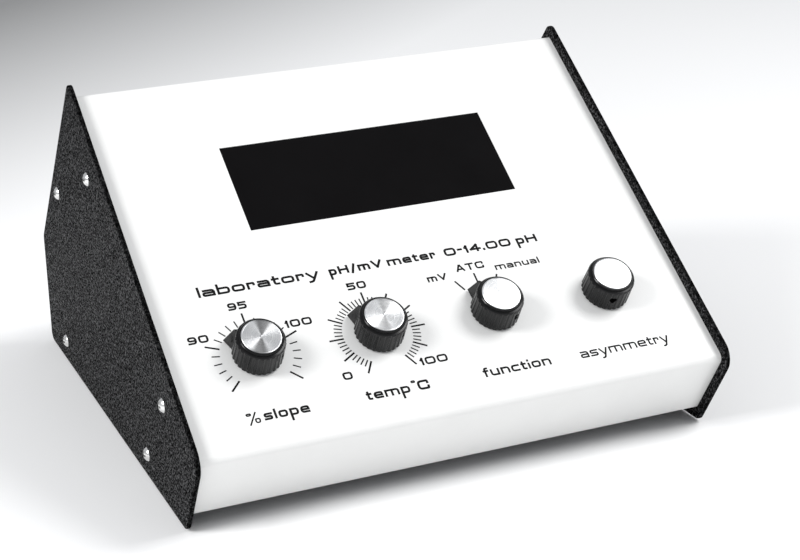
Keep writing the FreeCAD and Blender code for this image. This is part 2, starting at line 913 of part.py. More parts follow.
def make_capacitors():
    cans = []
    for index in range(capacitor_count):
        x = main_board_left + main_board_width - capacitor_edge_distance
        y = main_board_front + capacitor_first_y + index * capacitor_pitch
        can = rod(capacitor_radius, main_board_top(), main_board_top() + capacitor_height, x, y)
        rims = [e for e in can.Edges if isinstance(e.Curve, Part.Circle)]
        cans.append(can.makeFillet(capacitor_rounding, rims))
    return group(cans)


def make_heatsink():
    """Finned heatsink standing on the board, with its regulator's face to the front."""
    x = main_board_left + main_board_width - heatsink_edge_distance
    y = main_board_front + heatsink_y
    bottom = main_board_top()
    sink = block(heatsink_width, heatsink_base, heatsink_height, x, y, bottom)
    pitch = (heatsink_width - heatsink_fin) / (heatsink_fin_count - 1)
    for index in range(heatsink_fin_count):
        fin_x = x - heatsink_width / 2.0 + heatsink_fin / 2.0 + index * pitch
        fin_y = y + heatsink_base / 2.0 + heatsink_fin_length / 2.0
        sink = sink.fuse(block(heatsink_fin, heatsink_fin_length, heatsink_height, fin_x, fin_y, bottom))
    return sink.removeSplitter()


def make_input_shield():
    """Screening can over the high-impedance input amplifier, open towards the board."""
    x = main_board_left + shield_edge_distance + shield_width / 2.0
    y = main_board_front + shield_front + shield_depth / 2.0
    can = block(shield_width, shield_depth, shield_height, x, y, main_board_top())
    hollow = block(
        shield_width - 2.0 * shield_wall, shield_depth - 2.0 * shield_wall, shield_height - shield_wall,
        x, y, main_board_top(),
    )
    return can.cut(hollow)


def make_transformer_core():
    """Laminated core with two windows and a fixing foot at each side."""
    core = block(transformer_width, transformer_depth, transformer_height)
    gap_width = (transformer_width - 2.0 * transformer_limb - transformer_centre_limb) / 2.0
    gap_x = (transformer_centre_limb + gap_width) / 2.0
    gap_height = transformer_height - 2.0 * transformer_limb
    for side in (-1, 1):
        hole = block(gap_width, transformer_depth, gap_height, side * gap_x, 0.0, transformer_limb)
        core = core.cut(hole)
        foot_x = side * (transformer_width + transformer_flange_length) / 2.0
        foot = block(transformer_flange_length, transformer_depth, transformer_flange_thickness, foot_x)
        core = core.fuse(foot.cut(rod(screw_hole_radius, 0.0, transformer_flange_thickness, foot_x)))
    return place_transformer(core.removeSplitter())


def place_transformer(shape):
    shape.translate(Vec(transformer_place_x, transformer_place_setback, tray_top))
    return shape


def transformer_screw_places():
    reach = (transformer_width + transformer_flange_length) / 2.0
    return [(transformer_place_x + side * reach, transformer_place_setback) for side in (-1, 1)]


def make_winding():
    outer_width = transformer_width - 2.0 * transformer_limb - 2.0 * winding_gap
    outer_depth = transformer_depth + 2.0 * winding_overhang
    height = transformer_height - 2.0 * transformer_limb - 2.0 * winding_gap
    bottom = transformer_limb + winding_gap
    coil = block(outer_width, outer_depth, height, z=bottom)
    coil = coil.cut(block(
        transformer_centre_limb + 2.0 * winding_gap, transformer_depth + 2.0 * winding_gap, height, z=bottom,
    ))
    return place_transformer(coil)


def make_transformer_screws():
    screws = []
    for x, y in transformer_screw_places():
        screw = pan_screw(transformer_flange_thickness + 2.0 * sheet)
        screw.translate(Vec(x, y, tray_top + transformer_flange_thickness))
        screws.append(screw)
    return group(screws)


# ---- rear fittings ----
def recorder_places():
    return [recorder_place + side * recorder_pitch / 2.0 for side in (-1, 1)]


def rear_cutouts():
    """Clearance for the body of each rear fitting, and for the inlet's two screws."""
    deep = -3.0 * sheet
    thick = 5.0 * sheet
    inlet = block(inlet_body_width + 2.0 * cutout_gap, inlet_body_height + 2.0 * cutout_gap, thick, z=deep)
    power = block(power_body_width + 2.0 * cutout_gap, power_body_height + 2.0 * cutout_gap, thick, z=deep)
    cutters = [
        on_rear(inlet, inlet_place),
        on_rear(power, power_place),
        on_rear(rod(fuse_body_radius + cutout_gap, deep, sheet), fuse_place),
        on_rear(rod(jack_bush_radius + cutout_gap, deep, sheet), jack_place),
        on_rear(rod(sensor_thread_radius + cutout_gap, deep, sheet), sensor_place),
    ]
    for x in recorder_places():
        cutters.append(on_rear(rod(socket_body_radius + cutout_gap, deep, sheet), x))
    for side in (-1, 1):
        hole = rod(screw_hole_radius, deep, sheet, side * inlet_screw_pitch / 2.0)
        cutters.append(on_rear(hole, inlet_place))
    return cutters


def make_mains_inlet():
    """Recessed three-blade appliance inlet with its screw flange outside the wall."""
    inlet = block(inlet_flange_width, inlet_flange_height, inlet_flange_thickness)
    upright = [e for e in inlet.Edges if e.BoundBox.ZLength > inlet_flange_thickness / 2.0]
    inlet = inlet.makeFillet(inlet_corner_radius, upright)
    inlet = inlet.fuse(block(inlet_body_width, inlet_body_height, inlet_body_depth, z=-inlet_body_depth))
    floor = inlet_flange_thickness - inlet_recess_depth
    recess = block(inlet_recess_width, inlet_recess_height, inlet_recess_depth, z=floor)
    top_corners = [
        e for e in recess.Edges
        if e.BoundBox.ZLength > inlet_recess_depth / 2.0 and e.BoundBox.YMin > 0
    ]
    inlet = inlet.cut(recess.makeChamfer(inlet_recess_chamfer, top_corners)).removeSplitter()
    blades = [(-1, -inlet_blade_offset), (0, inlet_blade_offset), (1, -inlet_blade_offset)]
    length = inlet_blade_length + inlet_blade_root
    for step, y in blades:
        x = step * inlet_blade_pitch / 2.0
        blade = block(inlet_blade_width, inlet_blade_height, length, x, y, floor - inlet_blade_root)
        inlet = inlet.fuse(blade)
    for side in (-1, 1):
        inlet = inlet.cut(rod(screw_hole_radius, 0.0, inlet_flange_thickness, side * inlet_screw_pitch / 2.0))
    return on_rear(inlet.removeSplitter(), inlet_place)


def make_inlet_screws():
    screws = []
    for side in (-1, 1):
        screw = pan_screw(cheek_screw_length, inlet_flange_thickness)
        screw.translate(Vec(side * inlet_screw_pitch / 2.0, 0, 0))
        screws.append(screw)
    return on_rear(group(screws), inlet_place)


def make_fuse_holder():
    holder = rod(fuse_flange_radius, 0.0, fuse_flange_thickness)
    holder = holder.fuse(rod(fuse_body_radius, -fuse_body_length, 0.0))
    holder = holder.cut(rod(fuse_bore_radius, fuse_end_wall - fuse_body_length, fuse_flange_thickness))
    return on_rear(holder.removeSplitter(), fuse_place)


def make_fuse_cap():
    """Screw cap with a driver slot, and the plug that presses on the fuse."""
    top = fuse_flange_thickness + fuse_cap_height
    cap = turned([
        (0.0, fuse_flange_thickness),
        (fuse_cap_radius, fuse_flange_thickness),
        (fuse_cap_radius - fuse_cap_taper, top - fuse_cap_edge),
        (fuse_cap_radius - fuse_cap_taper - fuse_cap_edge, top),
        (0.0, top),
    ])
    plug_end = fuse_flange_thickness - fuse_cap_plug_length
    plug = rod(fuse_bore_radius - thread_fit_gap, plug_end, fuse_flange_thickness)
    cap = cap.fuse(plug).removeSplitter()
    slot = block(2.0 * fuse_cap_radius, fuse_slot_width, fuse_slot_width, z=top - fuse_slot_width)
    return on_rear(cap.cut(slot), fuse_place)


def make_power_switch_housing():
    housing = block(power_flange_width, power_flange_height, power_flange_thickness)
    housing = housing.fuse(block(power_body_width, power_body_height, power_body_depth, z=-power_body_depth))
    well_width = rocker_width + 2.0 * rocker_side_gap
    well_length = 2.0 * (rocker_radius + rocker_end_gap)
    well_depth = power_flange_thickness + rocker_radius - rocker_pivot_height + rocker_end_gap
    well_floor = power_flange_thickness - well_depth
    housing = housing.cut(block(well_width, well_length, well_depth, z=well_floor))
    lug_end = -power_body_depth - power_lug_length
    for x in (-power_lug_offset, power_lug_offset):
        housing = housing.fuse(block(power_lug_thickness, power_lug_width, power_lug_length, x, 0.0, lug_end))
    return on_rear(housing.removeSplitter(), power_place)


def make_power_rocker():
    """Two-way rocker with a shallow valley across its face, stored with its upper end pressed in."""
    disc = Part.makeCylinder(rocker_radius, rocker_width, Vec(-rocker_width / 2.0, 0, 0), Vec(1, 0, 0))
    rise = math.tan(math.radians(rocker_tilt)) * rocker_radius
    face = [
        Vec(0, -rocker_radius, -rocker_belly),
        Vec(0, rocker_radius, -rocker_belly),
        Vec(0, rocker_radius, rocker_valley + rise),
        Vec(0, 0, rocker_valley),
        Vec(0, -rocker_radius, rocker_valley + rise),
    ]
    outline = Part.Face(Part.makePolygon(face + face[:1]))
    outline.translate(Vec(-rocker_width / 2.0, 0, 0))
    rocker = disc.common(outline.extrude(Vec(rocker_width, 0, 0)))
    rocker.rotate(Vec(0, 0, 0), Vec(1, 0, 0), -rocker_tilt)
    rocker.translate(Vec(0, 0, rocker_pivot_height))
    return on_rear(rocker, power_place)


def make_recorder_sockets():
    """Two insulated 4 mm sockets side by side."""
    sockets = []
    for x in recorder_places():
        floor = socket_collar_height - socket_bore_length
        body = rod(socket_collar_radius, 0.0, socket_collar_height)
        rim = [e for e in body.Edges if e.BoundBox.ZMin > socket_collar_height / 2.0]
        body = body.makeFillet(socket_collar_rounding, rim)
        body = body.fuse(rod(socket_body_radius, -socket_body_length, 0.0))
        body = body.cut(rod(socket_bore_radius, floor, socket_collar_height))
        sockets.append(on_rear(body.removeSplitter(), x))
    return group(sockets)


def make_probe_jack():
    """Panel jack for the temperature probe."""
    top = jack_hex_height + jack_bush_length
    jack = hexagon(jack_hex, 0.0, jack_hex_height).fuse(rod(jack_bush_radius, jack_hex_height, top))
    jack = jack.fuse(rod(jack_bush_radius, -jack_body_length, 0.0))
    jack = jack.cut(rod(jack_bore_radius, top - jack_bore_length, top))
    return on_rear(jack.removeSplitter(), jack_place)


def make_sensor_socket():
    """Coaxial socket for the sensor, with a plain barrel round its centre pin."""
    tip = sensor_hex_height + sensor_barrel_length
    socket = hexagon(sensor_hex, 0.0, sensor_hex_height)
    socket = socket.fuse(rod(sensor_barrel_radius, sensor_hex_height, tip))
    socket = socket.fuse(rod(sensor_thread_radius, -sensor_thread_length, 0.0))
    socket = socket.cut(rod(sensor_bore_radius, tip - sensor_bore_depth, tip))
    socket = socket.fuse(rod(sensor_pin_radius, tip - sensor_bore_depth, tip - sensor_pin_recess))
    return on_rear(socket.removeSplitter(), sensor_place)


def make_socket_nuts():
    """Nuts behind the rear wall on the round fittings."""
    fittings = [
        (fuse_place, fuse_body_radius),
        (jack_place, jack_bush_radius),
        (sensor_place, sensor_thread_radius),
    ]
    fittings += [(x, socket_body_radius) for x in recorder_places()]
    nuts = []
    for x, radius in fittings:
        across = 2.0 * (radius + socket_nut_flat_margin)
        nut = hexagon(across, -sheet - socket_nut_thickness, -sheet)
        nut = nut.cut(rod(radius + thread_fit_gap, -sheet - socket_nut_thickness, -sheet))
        nuts.append(on_rear(nut, x))
    return group(nuts)


# ---- assembly ----
def make_nodes():
    nodes = {
        "left_cheek": make_cheek(-case_width / 2.0),
        "right_cheek": make_cheek(case_width / 2.0 - cheek_thickness),
        "left_cheek_screws": make_cheek_screws(-1),
        "right_cheek_screws": make_cheek_screws(1),
        "front_cover": make_front_cover(),
        "base_tray": make_base_tray(),
        "rear_cover": make_rear_cover(),
        "rear_cover_screws": make_rear_cover_screws(),
        "rubber_feet": make_feet(),
        "foot_screws": make_foot_screws(),
        "display_window": make_window(),
        "display_digits": make_digits(),
        "display_board": make_display_board(),
        "display_spacers": make_display_spacers(),
        "display_screws": make_display_screws(),
        "control_washers": make_control_washers(),
        "control_nuts": make_control_nuts(),
        "main_board": make_main_board(),
        "board_spacers": make_board_spacers(),
        "board_screws": make_board_screws(),
        "board_chips": make_chips(),
        "smoothing_capacitors": make_capacitors(),
        "regulator_heatsink": make_heatsink(),
        "input_shield": make_input_shield(),
        "transformer_core": make_transformer_core(),
        "transformer_winding": make_winding(),
        "transformer_screws": make_transformer_screws(),
        "mains_inlet": make_mains_inlet(),
        "inlet_screws": make_inlet_screws(),
        "fuse_holder": make_fuse_holder(),
        "fuse_cap": make_fuse_cap(),
        "power_switch_housing": make_power_switch_housing(),
        "power_rocker": make_power_rocker(),
        "recorder_sockets": make_recorder_sockets(),
        "probe_jack": make_probe_jack(),
        "sensor_socket": make_sensor_socket(),
        "socket_nuts": make_socket_nuts(),
    }
    add_controls(nodes)
    return nodes


def footprint_middle(nodes):
    """Half way between the frontmost and the rearmost point of the whole meter."""
    boxes = [shape.optimalBoundingBox(False) for shape in nodes.values()]
    return (min(box.YMin for box in boxes) + max(box.YMax for box in boxes)) / 2.0


def write_parts():
    os.makedirs("parts", exist_ok=True)
    nodes = make_nodes()
    middle = footprint_middle(nodes)
    for name, shape in nodes.items():
        shape.translate(Vec(0, -middle, 0))
        shape.exportStep("parts/" + name + ".step")


if __name__ == "__main__":
    write_parts()
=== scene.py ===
"""Finishes for a bench pH meter: paint, prints, spun caps, fittings and the studio it stands in."""

import json
import math

import bpy
from mathutils import Matrix, Vector


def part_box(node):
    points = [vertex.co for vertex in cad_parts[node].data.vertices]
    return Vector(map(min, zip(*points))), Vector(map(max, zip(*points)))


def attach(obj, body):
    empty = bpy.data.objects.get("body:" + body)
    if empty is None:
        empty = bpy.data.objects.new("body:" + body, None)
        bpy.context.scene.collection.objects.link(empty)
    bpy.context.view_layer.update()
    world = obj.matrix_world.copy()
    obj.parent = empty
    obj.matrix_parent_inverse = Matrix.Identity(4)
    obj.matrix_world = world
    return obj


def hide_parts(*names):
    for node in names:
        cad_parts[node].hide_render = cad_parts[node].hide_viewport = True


bl_info = {
    "name": "Bench pH meter finishes",
    "version": (1, 0, 0),
    "blender": (4, 5, 0),
    "location": "3D View > Sidebar > pH meter",
    "description": "Paints the case, prints the scales and sets the stage of a bench pH meter",
    "category": "Object",
}

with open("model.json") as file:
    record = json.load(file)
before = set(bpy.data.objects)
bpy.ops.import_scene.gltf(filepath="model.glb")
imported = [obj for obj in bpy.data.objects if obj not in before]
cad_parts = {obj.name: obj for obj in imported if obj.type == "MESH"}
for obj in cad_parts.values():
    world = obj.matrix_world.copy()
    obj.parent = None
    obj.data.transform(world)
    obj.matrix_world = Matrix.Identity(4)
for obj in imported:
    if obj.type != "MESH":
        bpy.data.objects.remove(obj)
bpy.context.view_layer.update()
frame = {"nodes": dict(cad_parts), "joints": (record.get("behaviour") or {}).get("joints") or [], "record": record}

MM = 0.001
CONTROLS = ("slope", "temperature", "function", "asymmetry")

# ---- where things are on the sloping panel ----
# Panel places are (across, up): millimetres from the outer face of the left cheek
# and from the foot of the slope.
CONTROL_UP = 45.6
CONTROL_PITCH = 50.0
CONTROL_ACROSS = {name: 37.5 + CONTROL_PITCH * index for index, name in enumerate(CONTROLS)}
SLOPE_TURN = next(joint for joint in frame["joints"] if joint["name"] == "slope_turn")
PANEL_NORMAL = Vector(SLOPE_TURN["axis"])
PANEL_SLOPE = math.atan2(-PANEL_NORMAL.y, PANEL_NORMAL.z)
PANEL_TURN = Matrix.Rotation(PANEL_SLOPE, 4, "X")
FIRST_CONTROL = Vector((CONTROL_ACROSS["slope"], CONTROL_UP, 0)) * MM
PANEL_FOOT = Vector(SLOPE_TURN["pos_m"]) - PANEL_TURN @ FIRST_CONTROL
PANEL_FRAME = Matrix.Translation(PANEL_FOOT) @ PANEL_TURN


# ---------------------------------------------------------------- settings
class PhMeterFinishSettings(bpy.types.PropertyGroup):
    cover_colour: bpy.props.FloatVectorProperty(
        name="Cover", description="Enamel of the sloping cover", subtype="COLOR", size=3,
        min=0, max=1, default=(0.78, 0.78, 0.77))
    cheek_colour: bpy.props.FloatVectorProperty(
        name="Cheeks", description="Wrinkle paint of the side cheeks", subtype="COLOR", size=3,
        min=0, max=1, default=(0.0045, 0.0045, 0.0047))
    rear_colour: bpy.props.FloatVectorProperty(
        name="Back and tray", description="Satin enamel of the back and the tray", subtype="COLOR", size=3,
        min=0, max=1, default=(0.2, 0.2, 0.205))
    window_colour: bpy.props.FloatVectorProperty(
        name="Window", description="Smoked sheet over the digits", subtype="COLOR", size=3,
        min=0, max=1, default=(0.004, 0.0037, 0.004))
    knob_colour: bpy.props.FloatVectorProperty(
        name="Knobs", description="Moulded knobs", subtype="COLOR", size=3,
        min=0, max=1, default=(0.0045, 0.0045, 0.0048))
    ink_colour: bpy.props.FloatVectorProperty(
        name="Ink", description="Screen print on the cover", subtype="COLOR", size=3,
        min=0, max=1, default=(0.004, 0.004, 0.0042))
    wrinkle_size: bpy.props.FloatProperty(
        name="Wrinkle size", description="Distance between the wrinkles of the cheek paint",
        subtype="DISTANCE", min=0.0002, max=0.003, default=0.0009)


class PhMeterPrintSettings(bpy.types.PropertyGroup):
    ink_height: bpy.props.FloatProperty(
        name="Ink height", description="How far the print stands off the enamel",
        subtype="DISTANCE", min=0.00001, max=0.0002, default=0.00004)
    long_tick: bpy.props.FloatProperty(
        name="Long tick width", description="Width of a main division", subtype="DISTANCE",
        min=0.0002, max=0.002, default=0.00076)
    short_tick: bpy.props.FloatProperty(
        name="Short tick width", description="Width of a small division", subtype="DISTANCE",
        min=0.0001, max=0.001, default=0.00053)
    inlet_flange: bpy.props.FloatProperty(
        name="Inlet flange", description="Thickness of the mains inlet's flange, from its face to the wall",
        subtype="DISTANCE", min=0, max=0.01, default=0.003)


class PhMeterCapSettings(bpy.types.PropertyGroup):
    radius: bpy.props.FloatProperty(
        name="Radius", description="Outer radius of a knob cap", subtype="DISTANCE",
        min=0.003, max=0.02, default=0.00785)
    thickness: bpy.props.FloatProperty(
        name="Thickness", description="Height of a cap from its seat to its face", subtype="DISTANCE",
        min=0.0003, max=0.003, default=0.0012)
    bevel: bpy.props.FloatProperty(
        name="Turned edge", description="Width of the bright turned edge", subtype="DISTANCE",
        min=0.00005, max=0.001, default=0.0004)


class PhMeterStageSettings(bpy.types.PropertyGroup):
    lens: bpy.props.FloatProperty(
        name="Lens", description="Focal length on a 36 mm sensor", unit="CAMERA",
        min=10, max=300, default=83.048)
    key_power: bpy.props.FloatProperty(
        name="Key light", description="Power of the light over the left side", unit="POWER",
        min=0, default=11)
    fill_power: bpy.props.FloatProperty(
        name="Fill light", description="Power of the light over the right side", unit="POWER",
        min=0, default=16)
    sky: bpy.props.FloatProperty(
        name="Room light", description="Brightness of the even light all round", min=0, default=0.52)


# ---------------------------------------------------------------- node helpers
def add_node(tree, kind, links=None, **values):
    """Adds a node. values set its own settings, links its sockets: a number, or another node's output."""
    node = tree.nodes.new(kind)
    for name, value in values.items():
        setattr(node, name, value)
    for name, value in (links or {}).items():
        if isinstance(value, bpy.types.NodeSocket):
            tree.links.new(value, node.inputs[name])
        else:
            node.inputs[name].default_value = value
    return node


def new_group(name, inputs, outputs):
    """A shader node group with its named sockets: (name, kind, default) inputs and (name, kind) outputs."""
    group = bpy.data.node_groups.new(name, "ShaderNodeTree")
    for label, kind, default in inputs:
        socket = group.interface.new_socket(label, in_out="INPUT", socket_type=kind)
        socket.default_value = default
    for label, kind in outputs:
        group.interface.new_socket(label, in_out="OUTPUT", socket_type=kind)
    return group, group.nodes.new("NodeGroupInput"), group.nodes.new("NodeGroupOutput")


FLOAT, COLOUR, VECTOR = "NodeSocketFloat", "NodeSocketColor", "NodeSocketVector"


def mottle_group():
    """Slow change of colour and roughness over a surface, from handling and uneven paint."""
    found = bpy.data.node_groups.get("mottle")
    if found:
        return found
    group, source, sink = new_group(
        "mottle",
        [("Vector", VECTOR, (0, 0, 0)), ("Colour", COLOUR, (0.5, 0.5, 0.5, 1)), ("Colour Change", FLOAT, 0.1),
         ("Roughness", FLOAT, 0.5), ("Roughness Change", FLOAT, 0.1), ("Scale", FLOAT, 60.0)],
        [("Colour", COLOUR), ("Roughness", FLOAT)])
    noise = add_node(group, "ShaderNodeTexNoise",
                     {"Vector": source.outputs["Vector"], "Scale": source.outputs["Scale"],
                      "Detail": 6.0, "Roughness": 0.6})
    centred = add_node(group, "ShaderNodeMapRange", {"Value": noise.outputs["Fac"], "From Min": 0.25,
                                                     "From Max": 0.75, "To Min": -1.0, "To Max": 1.0})
    rough = add_node(group, "ShaderNodeMath", {0: centred.outputs[0], 1: source.outputs["Roughness Change"],
                                               2: source.outputs["Roughness"]},
                     operation="MULTIPLY_ADD", use_clamp=True)
    gain = add_node(group, "ShaderNodeMath",
                    {0: centred.outputs[0], 1: source.outputs["Colour Change"], 2: 1.0},
                    operation="MULTIPLY_ADD")
    colour = add_node(group, "ShaderNodeVectorMath", {0: source.outputs["Colour"]}, operation="SCALE")
    group.links.new(gain.outputs[0], colour.inputs["Scale"])
    group.links.new(colour.outputs[0], sink.inputs["Colour"])
    group.links.new(rough.outputs[0], sink.inputs["Roughness"])
    return group


def grain_group():
    """Height of a fine even grain: moulding texture, orange peel or blasting."""
    found = bpy.data.node_groups.get("grain")
    if found:
        return found
    group, source, sink = new_group(
        "grain",
        [("Vector", VECTOR, (0, 0, 0)), ("Size", FLOAT, 0.001), ("Sharpness", FLOAT, 0.5)],
        [("Height", FLOAT)])
    scale = add_node(group, "ShaderNodeMath", {0: 1.0, 1: source.outputs["Size"]}, operation="DIVIDE")
    noise = add_node(group, "ShaderNodeTexNoise",
                     {"Vector": source.outputs["Vector"], "Scale": scale.outputs[0], "Detail": 4.0,
                      "Roughness": source.outputs["Sharpness"]})
    group.links.new(noise.outputs["Fac"], sink.inputs["Height"])
    return group


def wrinkle_group():
    """Wrinkle paint: worm-like ridges with darker valleys between them."""
    found = bpy.data.node_groups.get("wrinkle")
    if found:
        return found
    group, source, sink = new_group(
        "wrinkle",
        [("Vector", VECTOR, (0, 0, 0)), ("Size", FLOAT, 0.0007)],
        [("Height", FLOAT), ("Ridge", FLOAT)])
    scale = add_node(group, "ShaderNodeMath", {0: 1.0, 1: source.outputs["Size"]}, operation="DIVIDE")
    warp = add_node(group, "ShaderNodeTexNoise", {"Vector": source.outputs["Vector"],
                                                  "Scale": scale.outputs[0], "Detail": 2.0})
    amount = add_node(group, "ShaderNodeMath", {0: source.outputs["Size"], 1: 1.4}, operation="MULTIPLY")
    push = add_node(group, "ShaderNodeVectorMath", {0: warp.outputs["Color"]}, operation="SCALE")
    group.links.new(amount.outputs[0], push.inputs["Scale"])
    moved = add_node(group, "ShaderNodeVectorMath", {0: source.outputs["Vector"], 1: push.outputs[0]},
                     operation="ADD")
    cells = add_node(group, "ShaderNodeTexVoronoi", {"Vector": moved.outputs[0], "Scale": scale.outputs[0],
                                                     "Detail": 1.0, "Roughness": 0.7},
                     feature="F1", normalize=True)
    coarse = add_node(group, "ShaderNodeTexNoise",
                      {"Vector": source.outputs["Vector"], "Scale": scale.outputs[0], "Detail": 5.0,
                       "Roughness": 0.7})
    height = add_node(group, "ShaderNodeMath", {0: cells.outputs["Distance"], 1: coarse.outputs["Fac"]},
                      operation="MULTIPLY")
    ridge = add_node(group, "ShaderNodeMapRange", {"Value": height.outputs[0], "From Min": 0.14,
                                                   "From Max": 0.34, "To Min": 0.0, "To Max": 1.0})
    group.links.new(height.outputs[0], sink.inputs["Height"])
    group.links.new(ridge.outputs[0], sink.inputs["Ridge"])
    return group


def drawn_group():
    """Fine straight scratches along one direction, as on rolled, ground or drawn metal."""
    found = bpy.data.node_groups.get("drawn")
    if found:
        return found
    group, source, sink = new_group(
        "drawn",
        [("Vector", VECTOR, (0, 0, 0)), ("Stretch", VECTOR, (60, 2500, 2500))],
        [("Height", FLOAT), ("Mask", FLOAT)])
    stretched = add_node(group, "ShaderNodeVectorMath", {0: source.outputs["Vector"],
                                                         1: source.outputs["Stretch"]}, operation="MULTIPLY")
    noise = add_node(group, "ShaderNodeTexNoise",
                     {"Vector": stretched.outputs[0], "Scale": 1.0, "Detail": 3.0, "Roughness": 0.65})
    mask = add_node(group, "ShaderNodeMapRange", {"Value": noise.outputs["Fac"], "From Min": 0.3,
                                                  "From Max": 0.7})
    group.links.new(noise.outputs["Fac"], sink.inputs["Height"])
    group.links.new(mask.outputs[0], sink.inputs["Mask"])
    return group


def place_group(tree, group, links):
    """Puts a node group into a material."""
    return add_node(tree, "ShaderNodeGroup", links, node_tree=group)


def start_material(name, metallic=0.0, **constants):
    """A material with its shader, and the object coordinates that its patterns read."""
    material = bpy.data.materials.new(name)
    material.use_nodes = True
    tree = material.node_tree
    shader = tree.nodes["Principled BSDF"]
    shader.inputs["Metallic"].default_value = metallic
    for socket, value in constants.items():
        shader.inputs[socket.replace("_", " ")].default_value = value
    where = tree.nodes.new("ShaderNodeTexCoord").outputs["Object"]
    return material, tree, shader, where


def add_bump(tree, shader, height, distance, strength=1.0):
    bump = add_node(tree, "ShaderNodeBump", {"Height": height, "Distance": distance, "Strength": strength})
    tree.links.new(bump.outputs["Normal"], shader.inputs["Normal"])
    return bump


def add_mottle(tree, shader, where, colour, colour_change, roughness, roughness_change, scale):
    mottle = place_group(tree, mottle_group(), {
        "Vector": where, "Colour": (*colour, 1.0), "Colour Change": colour_change, "Roughness": roughness,
        "Roughness Change": roughness_change, "Scale": scale})
    tree.links.new(mottle.outputs["Colour"], shader.inputs["Base Color"])
    tree.links.new(mottle.outputs["Roughness"], shader.inputs["Roughness"])
    return mottle


def enamel(name, colour, roughness, peel, change=0.02):
    """Sprayed and stoved enamel with a faint orange peel."""
    material, tree, shader, where = start_material(name, Coat_Weight=0.25, Coat_Roughness=0.12)
    add_mottle(tree, shader, where, colour, change, roughness, 0.05, 35.0)
    grain = place_group(tree, grain_group(), {"Vector": where, "Size": 0.0016, "Sharpness": 0.35})
    add_bump(tree, shader, grain.outputs["Height"], peel)
    return material


def moulded(name, colour, roughness, grain_depth, size=0.0004, change=0.12, shine=0.5):
    """Moulded plastic or rubber with the grain of its mould."""
    material, tree, shader, where = start_material(name, Specular_IOR_Level=shine)
    add_mottle(tree, shader, where, colour, change, roughness, 0.08, 180.0)
    grain = place_group(tree, grain_group(), {"Vector": where, "Size": size, "Sharpness": 0.7})
    add_bump(tree, shader, grain.outputs["Height"], grain_depth)
    return material


def metal(name, colour, roughness, stretch, depth, change=0.06):
    """Bare or plated metal with the marks of its tool."""
    material, tree, shader, where = start_material(name, metallic=1.0)
    mottle = add_mottle(tree, shader, where, colour, change, roughness, 0.06, 240.0)
    drawn = place_group(tree, drawn_group(), {"Vector": where, "Stretch": stretch})
    rough = add_node(tree, "ShaderNodeMath",
                     {0: drawn.outputs["Mask"], 1: 0.12, 2: mottle.outputs["Roughness"]},
                     operation="MULTIPLY_ADD", use_clamp=True)
    tree.links.new(rough.outputs[0], shader.inputs["Roughness"])
    add_bump(tree, shader, drawn.outputs["Height"], depth)
    return material


def paint(material, *names):
    """Gives CAD nodes a finished material in place of their plain one."""
    for name in names:
        mesh = frame["nodes"][name].data
        if not mesh.materials:
            mesh.materials.append(material)
        for index in range(len(mesh.materials)):
            mesh.materials[index] = material


# ---------------------------------------------------------------- mesh helpers
def clear_selection():
    for item in bpy.context.selected_objects:
        item.select_set(False)


def make_active(item):
    clear_selection()
    item.select_set(True)
    bpy.context.view_layer.objects.active = item


def apply_place(item, matrix):
    """Moves a finished mesh to its place, and leaves its object at the origin."""
    item.data.transform(matrix @ item.matrix_world)
    item.matrix_world = Matrix.Identity(4)
    item.data.update()


